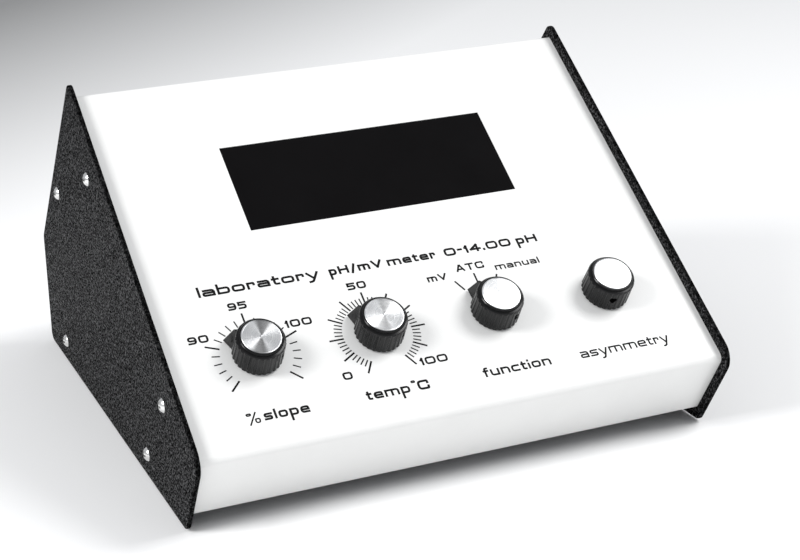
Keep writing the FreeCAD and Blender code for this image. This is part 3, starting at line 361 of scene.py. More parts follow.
# ---------------------------------------------------------------- stroke lettering
# Each letter is a list of strokes on the middle of the pen line. Across runs from 0 to 1 over the letter.
# Up is 0 on the base line, 1 at the top of a small letter, 2 at the top of a tall one and -1 at the foot
# of a tail. Capitals and figures use 0 to 2. Inner points are rounded, and ends are cut square.
LOOP = [(0.5, 2), (1, 2), (1, 0), (0, 0), (0, 2), (0.5, 2)]
SMALL_LOOP = [(0.5, 1), (1, 1), (1, 0), (0, 0), (0, 1), (0.5, 1)]
ARCH = [(0, 1), (1, 1), (1, 0)]
STEM = [(0, 0), (0, 1)]
LETTERS = {
    "a": (1.0, [[(0.06, 1), (1, 1), (1, 0)], [(1, 0), (0, 0), (0, 0.52), (1, 0.52)]]),
    "b": (1.0, [[(0, 0), (0, 2)], [(0, 1), (1, 1), (1, 0), (0, 0)]]),
    "c": (0.95, [[(1, 1), (0, 1), (0, 0), (1, 0)]]),
    "d": (1.0, [[(1, 0), (1, 2)], [(1, 1), (0, 1), (0, 0), (1, 0)]]),
    "e": (1.0, [[(0, 0.5), (1, 0.5)], [(1, 0.5), (1, 1), (0, 1), (0, 0), (1, 0)]]),
    "f": (0.62, [[(1, 2), (0.36, 2), (0.36, 0)], [(0, 1), (1, 1)]]),
    "i": (0.0, [[(0, 0), (0, 0.84)], [(0, 1.92), (0, 2)]]),
    "l": (0.0, [[(0, 0), (0, 2)]]),
    "m": (1.6, [STEM, ARCH, [(0.5, 1), (0.5, 0)]]),
    "n": (1.0, [STEM, ARCH]),
    "o": (1.02, [SMALL_LOOP]),
    "p": (1.0, [[(0, -1), (0, 1)], [(0, 1), (1, 1), (1, 0), (0, 0)]]),
    "r": (0.66, [STEM, [(0, 1), (1, 1), (1, 0.7)]]),
    "s": (0.95, [[(1, 1), (0, 1), (0, 0.5), (1, 0.5), (1, 0), (0, 0)]]),
    "t": (0.62, [[(0.3, 1.65), (0.3, 0), (1, 0)], [(0, 1), (1, 1)]]),
    "u": (1.0, [[(1, 0), (1, 1)], [(0, 1), (0, 0), (1, 0)]]),
    "w": (1.5, [[(0, 1), (0.25, 0)], [(0.25, 0), (0.5, 1)], [(0.5, 1), (0.75, 0)], [(0.75, 0), (1, 1)]]),
    "y": (1.0, [[(0, 1), (0.5, 0)], [(1, 1), (0.4, -0.75), (0.1, -0.8)]]),
    "A": (1.05, [[(0, 0), (0.44, 2)], [(1, 0), (0.56, 2)], [(0.44, 2), (0.56, 2)],
                 [(0.18, 0.55), (0.82, 0.55)]]),
    "C": (1.05, [[(1, 1.5), (1, 2), (0, 2), (0, 0), (1, 0), (1, 0.5)]]),
    "H": (1.05, [[(0, 0), (0, 2)], [(1, 0), (1, 2)], [(0, 1.05), (1, 1.05)]]),
    "T": (1.0, [[(0, 2), (1, 2)], [(0.5, 2), (0.5, 0)]]),
    "V": (1.1, [[(0, 2), (0.5, 0)], [(1, 2), (0.5, 0)]]),
    "0": (1.1, [LOOP]),
    "1": (0.36, [[(0, 1.5), (1, 2)], [(1, 2), (1, 0)]]),
    "4": (1.05, [[(0.72, 0), (0.72, 2)], [(0.72, 2), (0, 0.6)], [(0, 0.6), (1, 0.6)]]),
    "5": (1.0, [[(1, 2), (0, 2)], [(0, 2), (0, 1.15)], [(0, 1.15), (1, 1.15), (1, 0), (0, 0)]]),
    "9": (1.0, [[(1, 0.9), (0, 0.9), (0, 2), (1, 2), (1, 0), (0, 0)]]),
    "/": (0.75, [[(0, -0.3), (1, 2.2)]]),
    "-": (0.6, [[(0, 0.9), (1, 0.9)]]),
    ".": (0.0, [[(0, 0), (0, 0.05)]]),
    "%": (1.25, [[(0.1, -0.4), (0.86, 2.25)],
                 [(0.17, 2.1), (0.36, 2.1), (0.36, 1.45), (-0.02, 1.45), (-0.02, 2.1), (0.17, 2.1)],
                 [(0.9, 0.45), (1.1, 0.45), (1.1, -0.2), (0.7, -0.2), (0.7, 0.45), (0.9, 0.45)]]),
    "*": (0.36, [[(0.5, 2.5), (1, 2.5), (1, 1.95), (0, 1.95), (0, 2.5), (0.5, 2.5)]]),
}
TALL_LETTERS = "ACHTV01459"
ARC_STEPS = 5
CORNER_RADIUS = 0.28  # share of the letter's height
LETTER_GAP, GAP_PER_PEN = 0.16, 0.62
SPACE = 0.85  # share of the height of a small letter
NARROWEST, WIDEST, FIT_STEPS = 0.4, 2.5, 30


def rounded(points, radius):
    """The points of a stroke with its inner corners turned into arcs."""
    path = [Vector(points[0])]
    for before, corner, after in zip(points, points[1:], points[2:]):
        before, corner, after = Vector(before), Vector(corner), Vector(after)
        way_in, way_out = corner - before, after - corner
        reach = min(radius, way_in.length * 0.5, way_out.length * 0.5)
        start = corner - way_in.normalized() * reach
        end = corner + way_out.normalized() * reach
        for step in range(ARC_STEPS + 1):
            t = step / ARC_STEPS
            path.append(start * (1 - t) ** 2 + corner * 2 * t * (1 - t) + end * t * t)
    path.append(Vector(points[-1]))
    return path


def letter_strokes(letter, left, base, small, tall, pen, widen):
    """Strokes of one letter in millimetres, and its width."""
    share, strokes = LETTERS[letter]
    upper = letter in TALL_LETTERS
    width = (tall if upper else small) * share * widen
    width = max(width, pen)
    low, middle, high = pen / 2, small - pen / 2, tall - pen / 2
    drawn = []
    for stroke in strokes:
        points = []
        for across, up in stroke:
            if upper:
                height = low + (high - low) * up / 2
            elif up <= 1:
                height = low + (middle - low) * up
            else:
                height = middle + (high - middle) * (up - 1)
            points.append((left + pen / 2 + (width - pen) * across, base + height))
        path = rounded(points, CORNER_RADIUS * (tall if upper else small))
        first = (path[0] - path[1]).normalized() * pen / 2
        last = (path[-1] - path[-2]).normalized() * pen / 2
        path[0], path[-1] = path[0] + first, path[-1] + last
        drawn.append(path)
    return drawn, width


def word_strokes(words, left, right, base, small, tall, pen):
    """Strokes of a line of words, spread to fill the room from left to right."""
    gap = GAP_PER_PEN * pen + LETTER_GAP
    space = SPACE * small

    def lay(widen):
        at, strokes = left, []
        for letter in words:
            if letter == " ":
                at += space - gap
                continue
            drawn, width = letter_strokes(letter, at, base, small, tall, pen, widen)
            strokes += drawn
            at += width + gap
        return strokes, at - gap

    narrow, wide = NARROWEST, WIDEST
    for _ in range(FIT_STEPS):
        widen = (narrow + wide) / 2
        if lay(widen)[1] > right:
            wide = widen
        else:
            narrow = widen
    return lay(narrow)[0]


def dial_ticks(centre, turns, inner, outer):
    """Radial strokes round a control. A turn is in degrees from straight up, clockwise."""
    strokes = []
    for turn in turns:
        way = Vector((math.sin(math.radians(turn)), math.cos(math.radians(turn))))
        strokes.append([Vector(centre) + way * inner, Vector(centre) + way * outer])
    return strokes


INK_LIFT = 0.8  # share of the ink's height that its middle stands off the enamel


def screen_ink(name, colour, colour_change, roughness, **constants):
    """Matt printing ink, a little uneven."""
    ink, tree, shader, where = start_material(name, **constants)
    add_mottle(tree, shader, where, colour, colour_change, roughness, 0.1, 300.0)
    grain = place_group(tree, grain_group(), {"Vector": where, "Size": 0.0003, "Sharpness": 0.6})
    add_bump(tree, shader, grain.outputs["Height"], 0.000006)
    return ink


def print_strokes(name, groups, matrix, material, ink_height):
    """Prints strokes as thin raised ink. groups is a list of (strokes, pen width in mm)."""
    parts = []
    for strokes, pen in groups:
        curve = bpy.data.curves.new(name, "CURVE")
        curve.dimensions = "3D"
        curve.bevel_depth = pen / 2 * MM
        curve.bevel_resolution = 1
        curve.use_fill_caps = True
        for path in strokes:
            spline = curve.splines.new("POLY")
            spline.points.add(len(path) - 1)
            for point, place in zip(spline.points, path):
                point.co = (place.x * MM, place.y * MM, 0.0, 1.0)
        piece = bpy.data.objects.new(name, curve)
        bpy.context.scene.collection.objects.link(piece)
        make_active(piece)
        bpy.ops.object.convert(target="MESH")
        piece = bpy.context.object
        flatten = 2 * ink_height / (pen * MM)
        lift = Matrix.Translation((0, 0, ink_height * INK_LIFT))
        piece.data.transform(lift @ Matrix.Diagonal((1, 1, flatten, 1)))
        parts.append(piece)
    clear_selection()
    for piece in parts:
        piece.select_set(True)
    bpy.context.view_layer.objects.active = parts[0]
    if len(parts) > 1:
        bpy.ops.object.join()
    piece = bpy.context.object
    piece.name = name
    apply_place(piece, matrix)
    piece.data.materials.clear()
    piece.data.materials.append(material)
    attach(piece, "case")


# ---------------------------------------------------------------- operators
class PHMETER_OT_cheeks(bpy.types.Operator):
    """Paints the side cheeks with wrinkle paint, with painted highlights on its ridges, smoother along their
    edges, where the painted highlights are fainter
    """

    bl_idname = "phmeter.cheeks"
    bl_label = "Side cheeks"

    def execute(self, context):
        finish = context.scene.phmeter_finish
        material, tree, shader, where = start_material("wrinkle_black")
        wrinkle = place_group(tree, wrinkle_group(), {"Vector": where, "Size": finish.wrinkle_size})
        facing = tree.nodes["Texture Coordinate"].outputs["Normal"]
        parts = add_node(tree, "ShaderNodeSeparateXYZ", {0: facing})
        side = add_node(tree, "ShaderNodeMath", {0: parts.outputs["X"]}, operation="ABSOLUTE")
        flat = add_node(tree, "ShaderNodeMapRange", {"Value": side.outputs[0], "From Min": 0.5,
                                                     "From Max": 0.95, "To Min": 0.3})
        mottle = place_group(tree, mottle_group(), {
            "Vector": where, "Colour": (*finish.cheek_colour, 1.0), "Colour Change": 0.2, "Roughness": 0.5,
            "Roughness Change": 0.06, "Scale": 25.0})
        # Painted highlight: the wrinkle ridges get up to many times the cheek's colour as painted glints. These
        # are fainter on the edge faces, so the edges are darker. The same mask also sets the ridges' shine.
        speckle = add_node(tree, "ShaderNodeMath", {0: wrinkle.outputs["Ridge"], 1: flat.outputs[0]},
                           operation="MULTIPLY")
        tone = add_node(tree, "ShaderNodeMapRange",
                        {"Value": speckle.outputs[0], "To Min": 0.3, "To Max": 34.0})
        lit = add_node(tree, "ShaderNodeVectorMath", {0: mottle.outputs["Colour"]}, operation="SCALE")
        tree.links.new(tone.outputs[0], lit.inputs["Scale"])
        tree.links.new(lit.outputs[0], shader.inputs["Base Color"])
        tree.links.new(mottle.outputs["Roughness"], shader.inputs["Roughness"])
        shine = add_node(tree, "ShaderNodeMapRange",
                         {"Value": speckle.outputs[0], "To Min": 0.0, "To Max": 0.4})
        tree.links.new(shine.outputs[0], shader.inputs["Specular IOR Level"])
        depth = add_node(tree, "ShaderNodeMath", {0: wrinkle.outputs["Height"], 1: flat.outputs[0]},
                         operation="MULTIPLY")
        add_bump(tree, shader, depth.outputs[0], 0.0008)
        paint(material, "left_cheek", "right_cheek")
        return {"FINISHED"}


class PHMETER_OT_covers(bpy.types.Operator):
    """Enamels the sloping cover, the back cover and the tray"""

    bl_idname = "phmeter.covers"
    bl_label = "Covers and tray"

    def execute(self, context):
        finish = context.scene.phmeter_finish
        paint(enamel("white_enamel", finish.cover_colour, 0.42, 0.00001), "front_cover")
        paint(enamel("grey_enamel", finish.rear_colour, 0.45, 0.00003, change=0.05),
              "rear_cover", "base_tray")
        return {"FINISHED"}


class PHMETER_OT_window(bpy.types.Operator):
    """Gives the display its smoked sheet, and the digits behind it their plastic"""

    bl_idname = "phmeter.window"
    bl_label = "Display window"

    def execute(self, context):
        finish = context.scene.phmeter_finish
        material, tree, shader, where = start_material("smoked_sheet", Specular_IOR_Level=0.04)
        add_mottle(tree, shader, where, finish.window_colour, 0.1, 0.2, 0.04, 40.0)
        grain = place_group(tree, grain_group(), {"Vector": where, "Size": 0.004, "Sharpness": 0.3})
        add_bump(tree, shader, grain.outputs["Height"], 0.000004)
        paint(material, "display_window")
        paint(moulded("digit_grey", (0.06, 0.05, 0.05), 0.4, 0.00001), "display_digits")
        return {"FINISHED"}


class PHMETER_OT_prints(bpy.types.Operator):
    """Prints the scales and the words on the sloping panel"""

    bl_idname = "phmeter.prints"
    bl_label = "Scales and words"
    # The centre of each scale: (across, up) in mm.
    DIALS = {"slope": (37.4, 45.65), "temperature": (87.1, 45.65), "function": (136.4, 45.55)}
    FUNCTION_TURNS = (-28, 0, 28)
    SHORT_TICK = (14.2, 17.4)
    # Each line: words, left, right, base line, height of a small letter, height of a tall one, pen, in mm.
    WORDS = {
        "slope_numbers": [("95", 33.0, 40.6, 67.7, 2.77, 3.53, 0.86),
                          ("90", 13.3, 21.5, 55.3, 2.76, 3.53, 0.86),
                          ("100", 52.5, 63.4, 55.2, 2.76, 3.53, 0.86)],
        "temperature_numbers": [("50", 82.5, 90.5, 67.6, 2.76, 3.53, 0.86),
                                ("0", 66.7, 70.6, 27.1, 2.75, 3.52, 0.86),
                                ("100", 98.8, 110.4, 27.1, 2.75, 3.52, 0.86)],
        "function_words": [("mV", 116.1, 124.7, 64.8, 2.56, 3.27, 0.78),
                           ("ATC", 129.8, 142.2, 67.4, 2.66, 3.48, 0.78),
                           ("manual", 146.4, 166.4, 65.1, 2.4, 3.17, 0.68)],
        "control_words": [("%", 25.0, 29.6, 16.5, 3.16, 4.28, 0.62),
                          ("slope", 31.5, 49.5, 16.5, 3.16, 4.38, 0.92),
                          ("temp", 72.6, 90.5, 16.4, 3.16, 4.38, 0.92),
                          ("*", 91.7, 93.6, 16.4, 3.16, 4.38, 0.6),
                          ("C", 93.9, 98.7, 16.4, 3.16, 4.38, 1.0),
                          ("function", 121.7, 151.0, 16.4, 3.15, 4.37, 0.88),
                          ("asymmetry", 164.2, 204.4, 16.3, 3.15, 4.37, 0.76)],
        "title_words": [("laboratory", 23.4, 73.4, 76.1, 3.38, 5.02, 1.02),
                        ("pH/mV", 77.8, 100.6, 76.1, 3.07, 3.95, 1.0),
                        ("meter", 102.8, 124.0, 76.0, 3.07, 3.94, 0.95),
                        ("0-14.00 pH", 128.0, 169.9, 75.9, 3.07, 3.94, 1.0)],
    }

    def execute(self, context):
        settings = context.scene.phmeter_print
        colour = context.scene.phmeter_finish.ink_colour
        ink = screen_ink("screen_ink", colour, 0.3, 0.55, Specular_IOR_Level=0.12)
        for name, groups in self.scales(settings.long_tick / MM, settings.short_tick / MM).items():
            print_strokes(name, groups, PANEL_FRAME, ink, settings.ink_height)
        for name, lines in self.WORDS.items():
            groups = [(word_strokes(*line), line[-1]) for line in lines]
            print_strokes(name, groups, PANEL_FRAME, ink, settings.ink_height)
        return {"FINISHED"}

    def scales(self, long_pen, short_pen):
        """The ticks of each scale, by name, as (strokes, pen width)."""
        slope_long, slope_short = self.divisions(270, 20, 5)
        temperature_long, temperature_short = self.divisions(300, 50, 5)
        slope, temperature, function = (self.DIALS[name] for name in ("slope", "temperature", "function"))
        return {
            "slope_scale": [(dial_ticks(slope, slope_long, 14.3, 20.0), long_pen),
                            (dial_ticks(slope, slope_short, *self.SHORT_TICK), short_pen)],
            "temperature_scale": [(dial_ticks(temperature, temperature_long, 14.2, 20.1), long_pen),
                                  (dial_ticks(temperature, temperature_short, *self.SHORT_TICK), short_pen)],
            "function_scale": [(dial_ticks(function, self.FUNCTION_TURNS, 14.4, 20.0), long_pen)],
        }

    def divisions(self, sweep, count, every):
        """Turns of the long ticks and of the short ones between them, for a scale centred on the top."""
        turns = [sweep * (index / count - 0.5) for index in range(count + 1)]
        long_ones = turns[::every]
        return long_ones, [turn for turn in turns if turn not in long_ones]


class PHMETER_OT_rear_prints(bpy.types.Operator):
    """Prints a word over each fitting on the back"""

    bl_idname = "phmeter.rear_prints"
    bl_label = "Words on the back"

    # Each word, and how far its middle is from the middle of the mains inlet, in mm.
    WORDS = (("mains", 0.0), ("fuse", 34.0), ("power", 58.0), ("recorder", 87.0), ("probe", 130.0),
             ("sensor", 160.0))
    HALF_LETTER = 1.12
    BASE_LINE, SMALL, TALL, PEN = 14.0, 1.7, 2.4, 0.36

    def execute(self, context):
        settings = context.scene.phmeter_print
        ink = screen_ink("rear_ink", (0.7, 0.7, 0.68), 0.1, 0.5)
        inlet = next(mount for mount in frame["record"]["mounts"] if mount["name"] == "mains_inlet")
        out = Vector(inlet["axis"])
        wall = Vector(inlet["pos_m"]) - out * settings.inlet_flange
        across = Vector((-1, 0, 0))
        place = Matrix.Translation(wall) @ Matrix((across, out.cross(across), out)).transposed().to_4x4()
        groups = []
        for word, middle in self.WORDS:
            half = self.HALF_LETTER * len(word)
            strokes = word_strokes(word, middle - half, middle + half, self.BASE_LINE, self.SMALL, self.TALL,
                                   self.PEN)
            groups.append((strokes, self.PEN))
        print_strokes("rear_words", groups, place, ink, settings.ink_height)
        return {"FINISHED"}


class PHMETER_OT_knobs(bpy.types.Operator):
    """Gives the knobs their moulded plastic and the shafts their steel"""

    bl_idname = "phmeter.knobs"
    bl_label = "Knobs"

    def execute(self, context):
        colour = context.scene.phmeter_finish.knob_colour
        plastic = moulded("knob_black", colour, 0.2, 0.000012, size=0.0003, shine=0.26)
        steel = metal("shaft_steel", (0.62, 0.62, 0.63), 0.3, (2500, 2500, 60), 0.000003)
        socket_steel = metal("blackened_steel", (0.16, 0.16, 0.165), 0.35, (900, 900, 900), 0.000003)
        for control in CONTROLS:
            paint(plastic, control + "_knob")
            paint(steel, control + "_shaft")
            paint(socket_steel, control + "_grub_screw")
        return {"FINISHED"}


class PHMETER_OT_caps(bpy.types.Operator):
    """Turns the spun aluminium caps of the knobs"""

    bl_idname = "phmeter.caps"
    bl_label = "Knob caps"
    # The cap is turned in steps, in metres: a rim step, then flat rings in to the middle.
    RIM_WIDTH, STEP_WIDTH, STEP_DEPTH = 0.00012, 0.0001, -0.00005
    RING_COUNT, RING_WIDTH = 6, 0.00105
    GROOVES_PER_METRE = 9000.0
    # The painted sheen is a painted reflection of two dark wedges in the caps' colour, fainter on the caps further
    # across the panel as a painted highlight, in metres.
    SHEEN_TURN = -2 * math.radians(68)
    SHEEN_START, SHEEN_END = 0.06, 0.14
    SHEEN_DARKEST, SHEEN_FAINTEST = 0.25, 0.85

    def execute(self, context):
        settings = context.scene.phmeter_cap
        material = self.spun_aluminium()
        for control in CONTROLS:
            clear_selection()
            cap = self.turn_cap(settings)
            cap.name = control + "_spun_cap"
            low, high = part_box(control + "_knob_cap")
            middle = (low + high) / 2
            base = PANEL_FRAME @ Vector((CONTROL_ACROSS[control] * MM, CONTROL_UP * MM, 0))
            top = PANEL_NORMAL * ((middle - base).dot(PANEL_NORMAL) + settings.thickness / 2)
            turn = Matrix.Translation(base + top) @ PANEL_TURN
            apply_place(cap, turn)
            cap.data.materials.append(material)
            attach(cap, control + "_control")
            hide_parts(control + "_knob_cap")
        return {"FINISHED"}

    def turn_cap(self, settings):
        """A disc with a turned edge and a shallow step inside it. Its face is at height 0."""
        bpy.ops.mesh.primitive_cylinder_add(vertices=128, radius=settings.radius, depth=settings.thickness,
                                            location=(0, 0, -settings.thickness / 2))
        cap = bpy.context.object
        apply_place(cap, Matrix.Identity(4))
        bpy.ops.object.mode_set(mode="EDIT")
        bpy.ops.mesh.select_mode(type="FACE")
        bpy.ops.mesh.select_all(action="DESELECT")
        bpy.ops.object.mode_set(mode="OBJECT")
        for face in cap.data.polygons:
            face.select = face.normal.z > 0.9
        bpy.ops.object.mode_set(mode="EDIT")
        bpy.ops.mesh.bevel(offset=settings.bevel, segments=3, profile=0.6)
        bpy.ops.object.mode_set(mode="OBJECT")
        for face in cap.data.polygons:
            face.select = face.normal.z > 0.999 and face.center.z > -1e-6
        bpy.ops.object.mode_set(mode="EDIT")
        bpy.ops.mesh.inset(thickness=self.RIM_WIDTH)
        bpy.ops.mesh.inset(thickness=self.STEP_WIDTH, depth=self.STEP_DEPTH)
        for _ in range(self.RING_COUNT):
            bpy.ops.mesh.inset(thickness=self.RING_WIDTH)
        bpy.ops.object.mode_set(mode="OBJECT")
        layer = cap.data.uv_layers.new(name="turned")
        for loop in cap.data.loops:
            place = cap.data.vertices[loop.vertex_index].co
            layer.data[loop.index].uv = (math.atan2(place.y, place.x) / math.tau, place.xy.length * 100)
        make_active(cap)
        bpy.ops.object.shade_smooth_by_angle(angle=math.radians(20))
        return cap

    def spun_aluminium(self):
        """Turned face with fine rings and a wedge-shaped painted reflection in its colour, fainter on the caps
        further across the panel. Patterns read the place on the panel.
        """
        pitch = CONTROL_PITCH * MM
        first_edge = CONTROL_ACROSS["slope"] * MM - pitch / 2
        material, tree, shader, where = start_material("spun_aluminium", metallic=1.0, Anisotropic=0.75)
        foot = PANEL_FRAME.inverted()
        mapping = add_node(tree, "ShaderNodeMapping", {"Vector": where,
                                                       "Location": foot.to_translation(),
                                                       "Rotation": foot.to_euler()})
        parts = add_node(tree, "ShaderNodeSeparateXYZ", {0: mapping.outputs["Vector"]})
        along = add_node(tree, "ShaderNodeMath", {0: parts.outputs["X"], 1: first_edge},
                         operation="SUBTRACT")
        cell = add_node(tree, "ShaderNodeMath", {0: along.outputs[0], 1: pitch}, operation="FLOORED_MODULO")
        across = add_node(tree, "ShaderNodeMath", {0: cell.outputs[0], 1: pitch / 2}, operation="SUBTRACT")
        up = add_node(tree, "ShaderNodeMath", {0: parts.outputs["Y"], 1: CONTROL_UP * MM},
                      operation="SUBTRACT")
        flat = add_node(tree, "ShaderNodeCombineXYZ", {"X": across.outputs[0], "Y": up.outputs[0]})
        distance = add_node(tree, "ShaderNodeVectorMath", {0: flat.outputs[0]}, operation="LENGTH")
        rings = add_node(tree, "ShaderNodeMath", {0: distance.outputs["Value"], 1: self.GROOVES_PER_METRE},
                         operation="MULTIPLY")
        groove = add_node(tree, "ShaderNodeTexNoise", {"W": rings.outputs[0], "Scale": 1.0, "Detail": 2.0},
                          noise_dimensions="1D")
        tone = add_node(tree, "ShaderNodeMapRange", {"Value": groove.outputs["Fac"], "From Min": 0.3,
                                                     "From Max": 0.7, "To Min": 0.86, "To Max": 1.0})
        colour = add_node(tree, "ShaderNodeVectorMath", {0: (0.9, 0.905, 0.91)}, operation="SCALE")
        turned = add_node(tree, "ShaderNodeUVMap", uv_map="turned")
        angle = add_node(tree, "ShaderNodeSeparateXYZ", {0: turned.outputs[0]})
        # Painted reflection: two dark wedges in the base colour, deeper on the caps nearer the left of the panel.
        twice = add_node(tree, "ShaderNodeMath",
                         {0: angle.outputs["X"], 1: 2 * math.tau, 2: self.SHEEN_TURN},
                         operation="MULTIPLY_ADD")
        wave = add_node(tree, "ShaderNodeMath", {0: twice.outputs[0]}, operation="COSINE")
        darkest = add_node(tree, "ShaderNodeMapRange",
                           {"Value": parts.outputs["X"], "From Min": self.SHEEN_START,
                            "From Max": self.SHEEN_END, "To Min": self.SHEEN_DARKEST,
                            "To Max": self.SHEEN_FAINTEST})
        sheen = add_node(tree, "ShaderNodeMapRange",
                         {"Value": wave.outputs[0], "From Min": 0.35, "From Max": 0.95, "To Min": 1.0,
                          "To Max": darkest.outputs[0]}, interpolation_type="SMOOTHSTEP")
        both = add_node(tree, "ShaderNodeMath", {0: tone.outputs[0], 1: sheen.outputs[0]},
                        operation="MULTIPLY")
        tree.links.new(both.outputs[0], colour.inputs["Scale"])
        tree.links.new(colour.outputs[0], shader.inputs["Base Color"])
        rough = add_node(tree, "ShaderNodeMapRange", {"Value": groove.outputs["Fac"], "To Min": 0.24,
                                                      "To Max": 0.34})
        tree.links.new(rough.outputs[0], shader.inputs["Roughness"])
        add_bump(tree, shader, groove.outputs["Fac"], 0.000012)
        tangent = add_node(tree, "ShaderNodeTangent", direction_type="UV_MAP", uv_map="turned")
        tree.links.new(tangent.outputs[0], shader.inputs["Tangent"])
        return material


class PHMETER_OT_fasteners(bpy.types.Operator):
    """Gives the screws, nuts and washers their bright steel"""

    bl_idname = "phmeter.fasteners"
    bl_label = "Fasteners"

    def execute(self, context):
        bright = metal("bright_screw", (0.8, 0.8, 0.79), 0.16, (900, 900, 900), 0.000002)
        paint(bright, "left_cheek_screws", "right_cheek_screws", "rear_cover_screws", "foot_screws",
              "inlet_screws", "display_screws", "board_screws", "transformer_screws", "control_washers",
              "control_nuts", "socket_nuts")
        return {"FINISHED"}


class PHMETER_OT_fittings(bpy.types.Operator):
    """Finishes the sockets, the switch and the fuse on the back, and the feet"""

    bl_idname = "phmeter.fittings"
    bl_label = "Rear fittings and feet"

    def execute(self, context):
        black = (0.02, 0.02, 0.021)
        paint(moulded("fitting_black", black, 0.38, 0.000014), "mains_inlet", "fuse_holder", "fuse_cap",
              "power_switch_housing")
        paint(moulded("rocker_black", black, 0.22, 0.000004), "power_rocker")
        paint(moulded("socket_red", (0.32, 0.012, 0.01), 0.28, 0.000006), "recorder_sockets")
        paint(metal("nickel_plate", (0.72, 0.69, 0.63), 0.18, (1200, 1200, 1200), 0.000002),
              "probe_jack", "sensor_socket")
        paint(moulded("foot_rubber", (0.018, 0.018, 0.018), 0.75, 0.00003, size=0.0007), "rubber_feet")
        return {"FINISHED"}


class PHMETER_OT_electronics(bpy.types.Operator):
    """Finishes the boards, the transformer and the parts on them"""

    bl_idname = "phmeter.electronics"
    bl_label = "Electronics"

    def execute(self, context):
        paint(moulded("board_green", (0.02, 0.11, 0.045), 0.35, 0.00001, size=0.0012),
              "display_board", "main_board")
        paint(metal("spacer_brass", (0.74, 0.66, 0.42), 0.3, (1800, 1800, 90), 0.000003), "display_spacers",
              "board_spacers")
        paint(moulded("chip_black", (0.02, 0.02, 0.02), 0.45, 0.00001), "board_chips")
        paint(moulded("capacitor_sleeve", (0.03, 0.07, 0.2), 0.25, 0.000005), "smoothing_capacitors")
        paint(metal("anodised_black", (0.03, 0.03, 0.032), 0.4, (90, 1800, 1800), 0.000004),
              "regulator_heatsink")
        paint(metal("tin_plate", (0.66, 0.67, 0.66), 0.3, (90, 1800, 1800), 0.000004), "input_shield")
        paint(metal("laminations", (0.2, 0.18, 0.165), 0.5, (40, 3000, 3000), 0.00001), "transformer_core")
        paint(moulded("winding_tape", (0.62, 0.46, 0.1), 0.35, 0.00002, size=0.0015), "transformer_winding")
        paint(metal("zinc_plate", (0.58, 0.58, 0.56), 0.32, (1500, 1500, 1500), 0.000003),
              "slope_potentiometer", "temperature_potentiometer", "function_rotary_switch",
              "asymmetry_potentiometer")
        return {"FINISHED"}


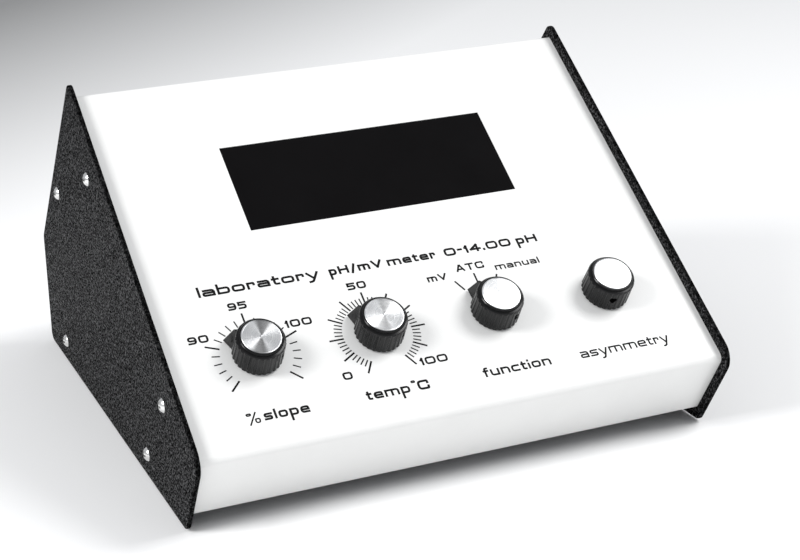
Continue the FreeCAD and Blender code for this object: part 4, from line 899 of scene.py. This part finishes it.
class PHMETER_OT_stage(bpy.types.Operator):
    """Sets the floor, the lights and the camera"""

    bl_idname = "phmeter.stage"
    bl_label = "Stage"
    # Places in metres. The backdrop's colour darkens along the way given, between the two distances: painted shade
    # for the light falling off towards the back.
    AIM = (0.0, 0.0, 0.05)
    KEY_PLACE, KEY_SIZE = (-1.0, -0.3, 0.78), 0.5
    FILL_PLACE, FILL_SIZE = (0.95, -0.5, 1.25), 0.9
    FLOOR_RADIUS = 6.0
    BACKDROP_WAY = (-0.9, 1.0, 0.0)
    BACKDROP_START, BACKDROP_END = 0.36, 0.92
    BACKDROP_PALE, BACKDROP_DARK = 0.92, 0.33
    CAMERA_PLACE = (-0.272699, -0.707571, 0.323117)
    CAMERA_TURN = (70.07496, 1.69667, -23.09074)  # degrees

    def execute(self, context):
        settings = context.scene.phmeter_stage
        self.floor()
        self.world(context.scene, settings.sky)
        self.light("key_light", self.KEY_PLACE, self.KEY_SIZE, settings.key_power)
        self.light("fill_light", self.FILL_PLACE, self.FILL_SIZE, settings.fill_power)
        self.camera(context.scene, settings.lens)
        context.scene.view_settings.view_transform = "Standard"
        return {"FINISHED"}

    def floor(self):
        """A round sheet of pale paper, its colour darker towards the back as painted shade."""
        clear_selection()
        bpy.ops.mesh.primitive_circle_add(vertices=96, radius=self.FLOOR_RADIUS, fill_type="NGON",
                                          location=(0, 0, 0))
        floor = bpy.context.object
        floor.name = "studio_floor"
        material, tree, shader, where = start_material("studio_paper")
        # Painted shade: the paper's colour runs from pale to dark towards the back.
        far = add_node(tree, "ShaderNodeVectorMath", {0: where, 1: self.BACKDROP_WAY},
                       operation="DOT_PRODUCT")
        shade = add_node(tree, "ShaderNodeMapRange",
                         {"Value": far.outputs["Value"], "From Min": self.BACKDROP_START,
                          "From Max": self.BACKDROP_END, "To Min": self.BACKDROP_PALE,
                          "To Max": self.BACKDROP_DARK})
        colour = add_node(tree, "ShaderNodeCombineColor", {"Red": shade.outputs[0], "Green": shade.outputs[0],
                                                           "Blue": shade.outputs[0]})
        tree.links.new(colour.outputs[0], shader.inputs["Base Color"])
        shader.inputs["Roughness"].default_value = 0.9
        floor.data.materials.append(material)

    def world(self, scene, strength):
        world = bpy.data.worlds.new("studio_room")
        world.use_nodes = True
        background = world.node_tree.nodes["Background"]
        background.inputs["Color"].default_value = (0.95, 0.97, 1.0, 1.0)
        background.inputs["Strength"].default_value = strength
        scene.world = world

    def light(self, name, place, size, power):
        data = bpy.data.lights.new(name, "AREA")
        data.shape = "DISK"
        data.size = size
        data.energy = power
        lamp = bpy.data.objects.new(name, data)
        lamp.location = place
        lamp.rotation_euler = (Vector(self.AIM) - Vector(place)).to_track_quat("-Z", "Y").to_euler()
        bpy.context.scene.collection.objects.link(lamp)

    def camera(self, scene, lens):
        data = bpy.data.cameras.new("camera")
        data.lens = lens
        data.sensor_width = 36.0
        camera = bpy.data.objects.new("camera", data)
        camera.location = self.CAMERA_PLACE
        camera.rotation_euler = [math.radians(turn) for turn in self.CAMERA_TURN]
        scene.collection.objects.link(camera)
        scene.camera = camera


class PHMETER_PT_panel(bpy.types.Panel):
    """Lists the settings and the steps of the meter's finishes"""

    bl_idname = "PHMETER_PT_panel"
    bl_label = "pH meter"
    bl_space_type = "VIEW_3D"
    bl_region_type = "UI"
    bl_category = "pH meter"

    def draw(self, context):
        scene = context.scene
        for group in (scene.phmeter_finish, scene.phmeter_print, scene.phmeter_cap, scene.phmeter_stage):
            box = self.layout.box()
            for name in group.__annotations__:
                box.prop(group, name)
        for step in STEPS:
            self.layout.operator(step.bl_idname)


STEPS = (PHMETER_OT_cheeks, PHMETER_OT_covers, PHMETER_OT_window, PHMETER_OT_prints,
         PHMETER_OT_rear_prints, PHMETER_OT_knobs, PHMETER_OT_caps, PHMETER_OT_fasteners,
         PHMETER_OT_fittings, PHMETER_OT_electronics, PHMETER_OT_stage)
SETTINGS = {"phmeter_finish": PhMeterFinishSettings, "phmeter_print": PhMeterPrintSettings,
            "phmeter_cap": PhMeterCapSettings, "phmeter_stage": PhMeterStageSettings}


def register():
    for kind in (*SETTINGS.values(), *STEPS, PHMETER_PT_panel):
        bpy.utils.register_class(kind)
    for name, kind in SETTINGS.items():
        setattr(bpy.types.Scene, name, bpy.props.PointerProperty(type=kind))


def unregister():
    for name in SETTINGS:
        delattr(bpy.types.Scene, name)
    for kind in (PHMETER_PT_panel, *STEPS, *SETTINGS.values()):
        bpy.utils.unregister_class(kind)


def main():
    register()
    bpy.ops.phmeter.cheeks()
    bpy.ops.phmeter.covers()
    bpy.ops.phmeter.window()
    bpy.ops.phmeter.prints()
    bpy.ops.phmeter.rear_prints()
    bpy.ops.phmeter.knobs()
    bpy.ops.phmeter.caps()
    bpy.ops.phmeter.fasteners()
    bpy.ops.phmeter.fittings()
    bpy.ops.phmeter.electronics()
    bpy.ops.phmeter.stage()


if __name__ == "__main__":
    main()
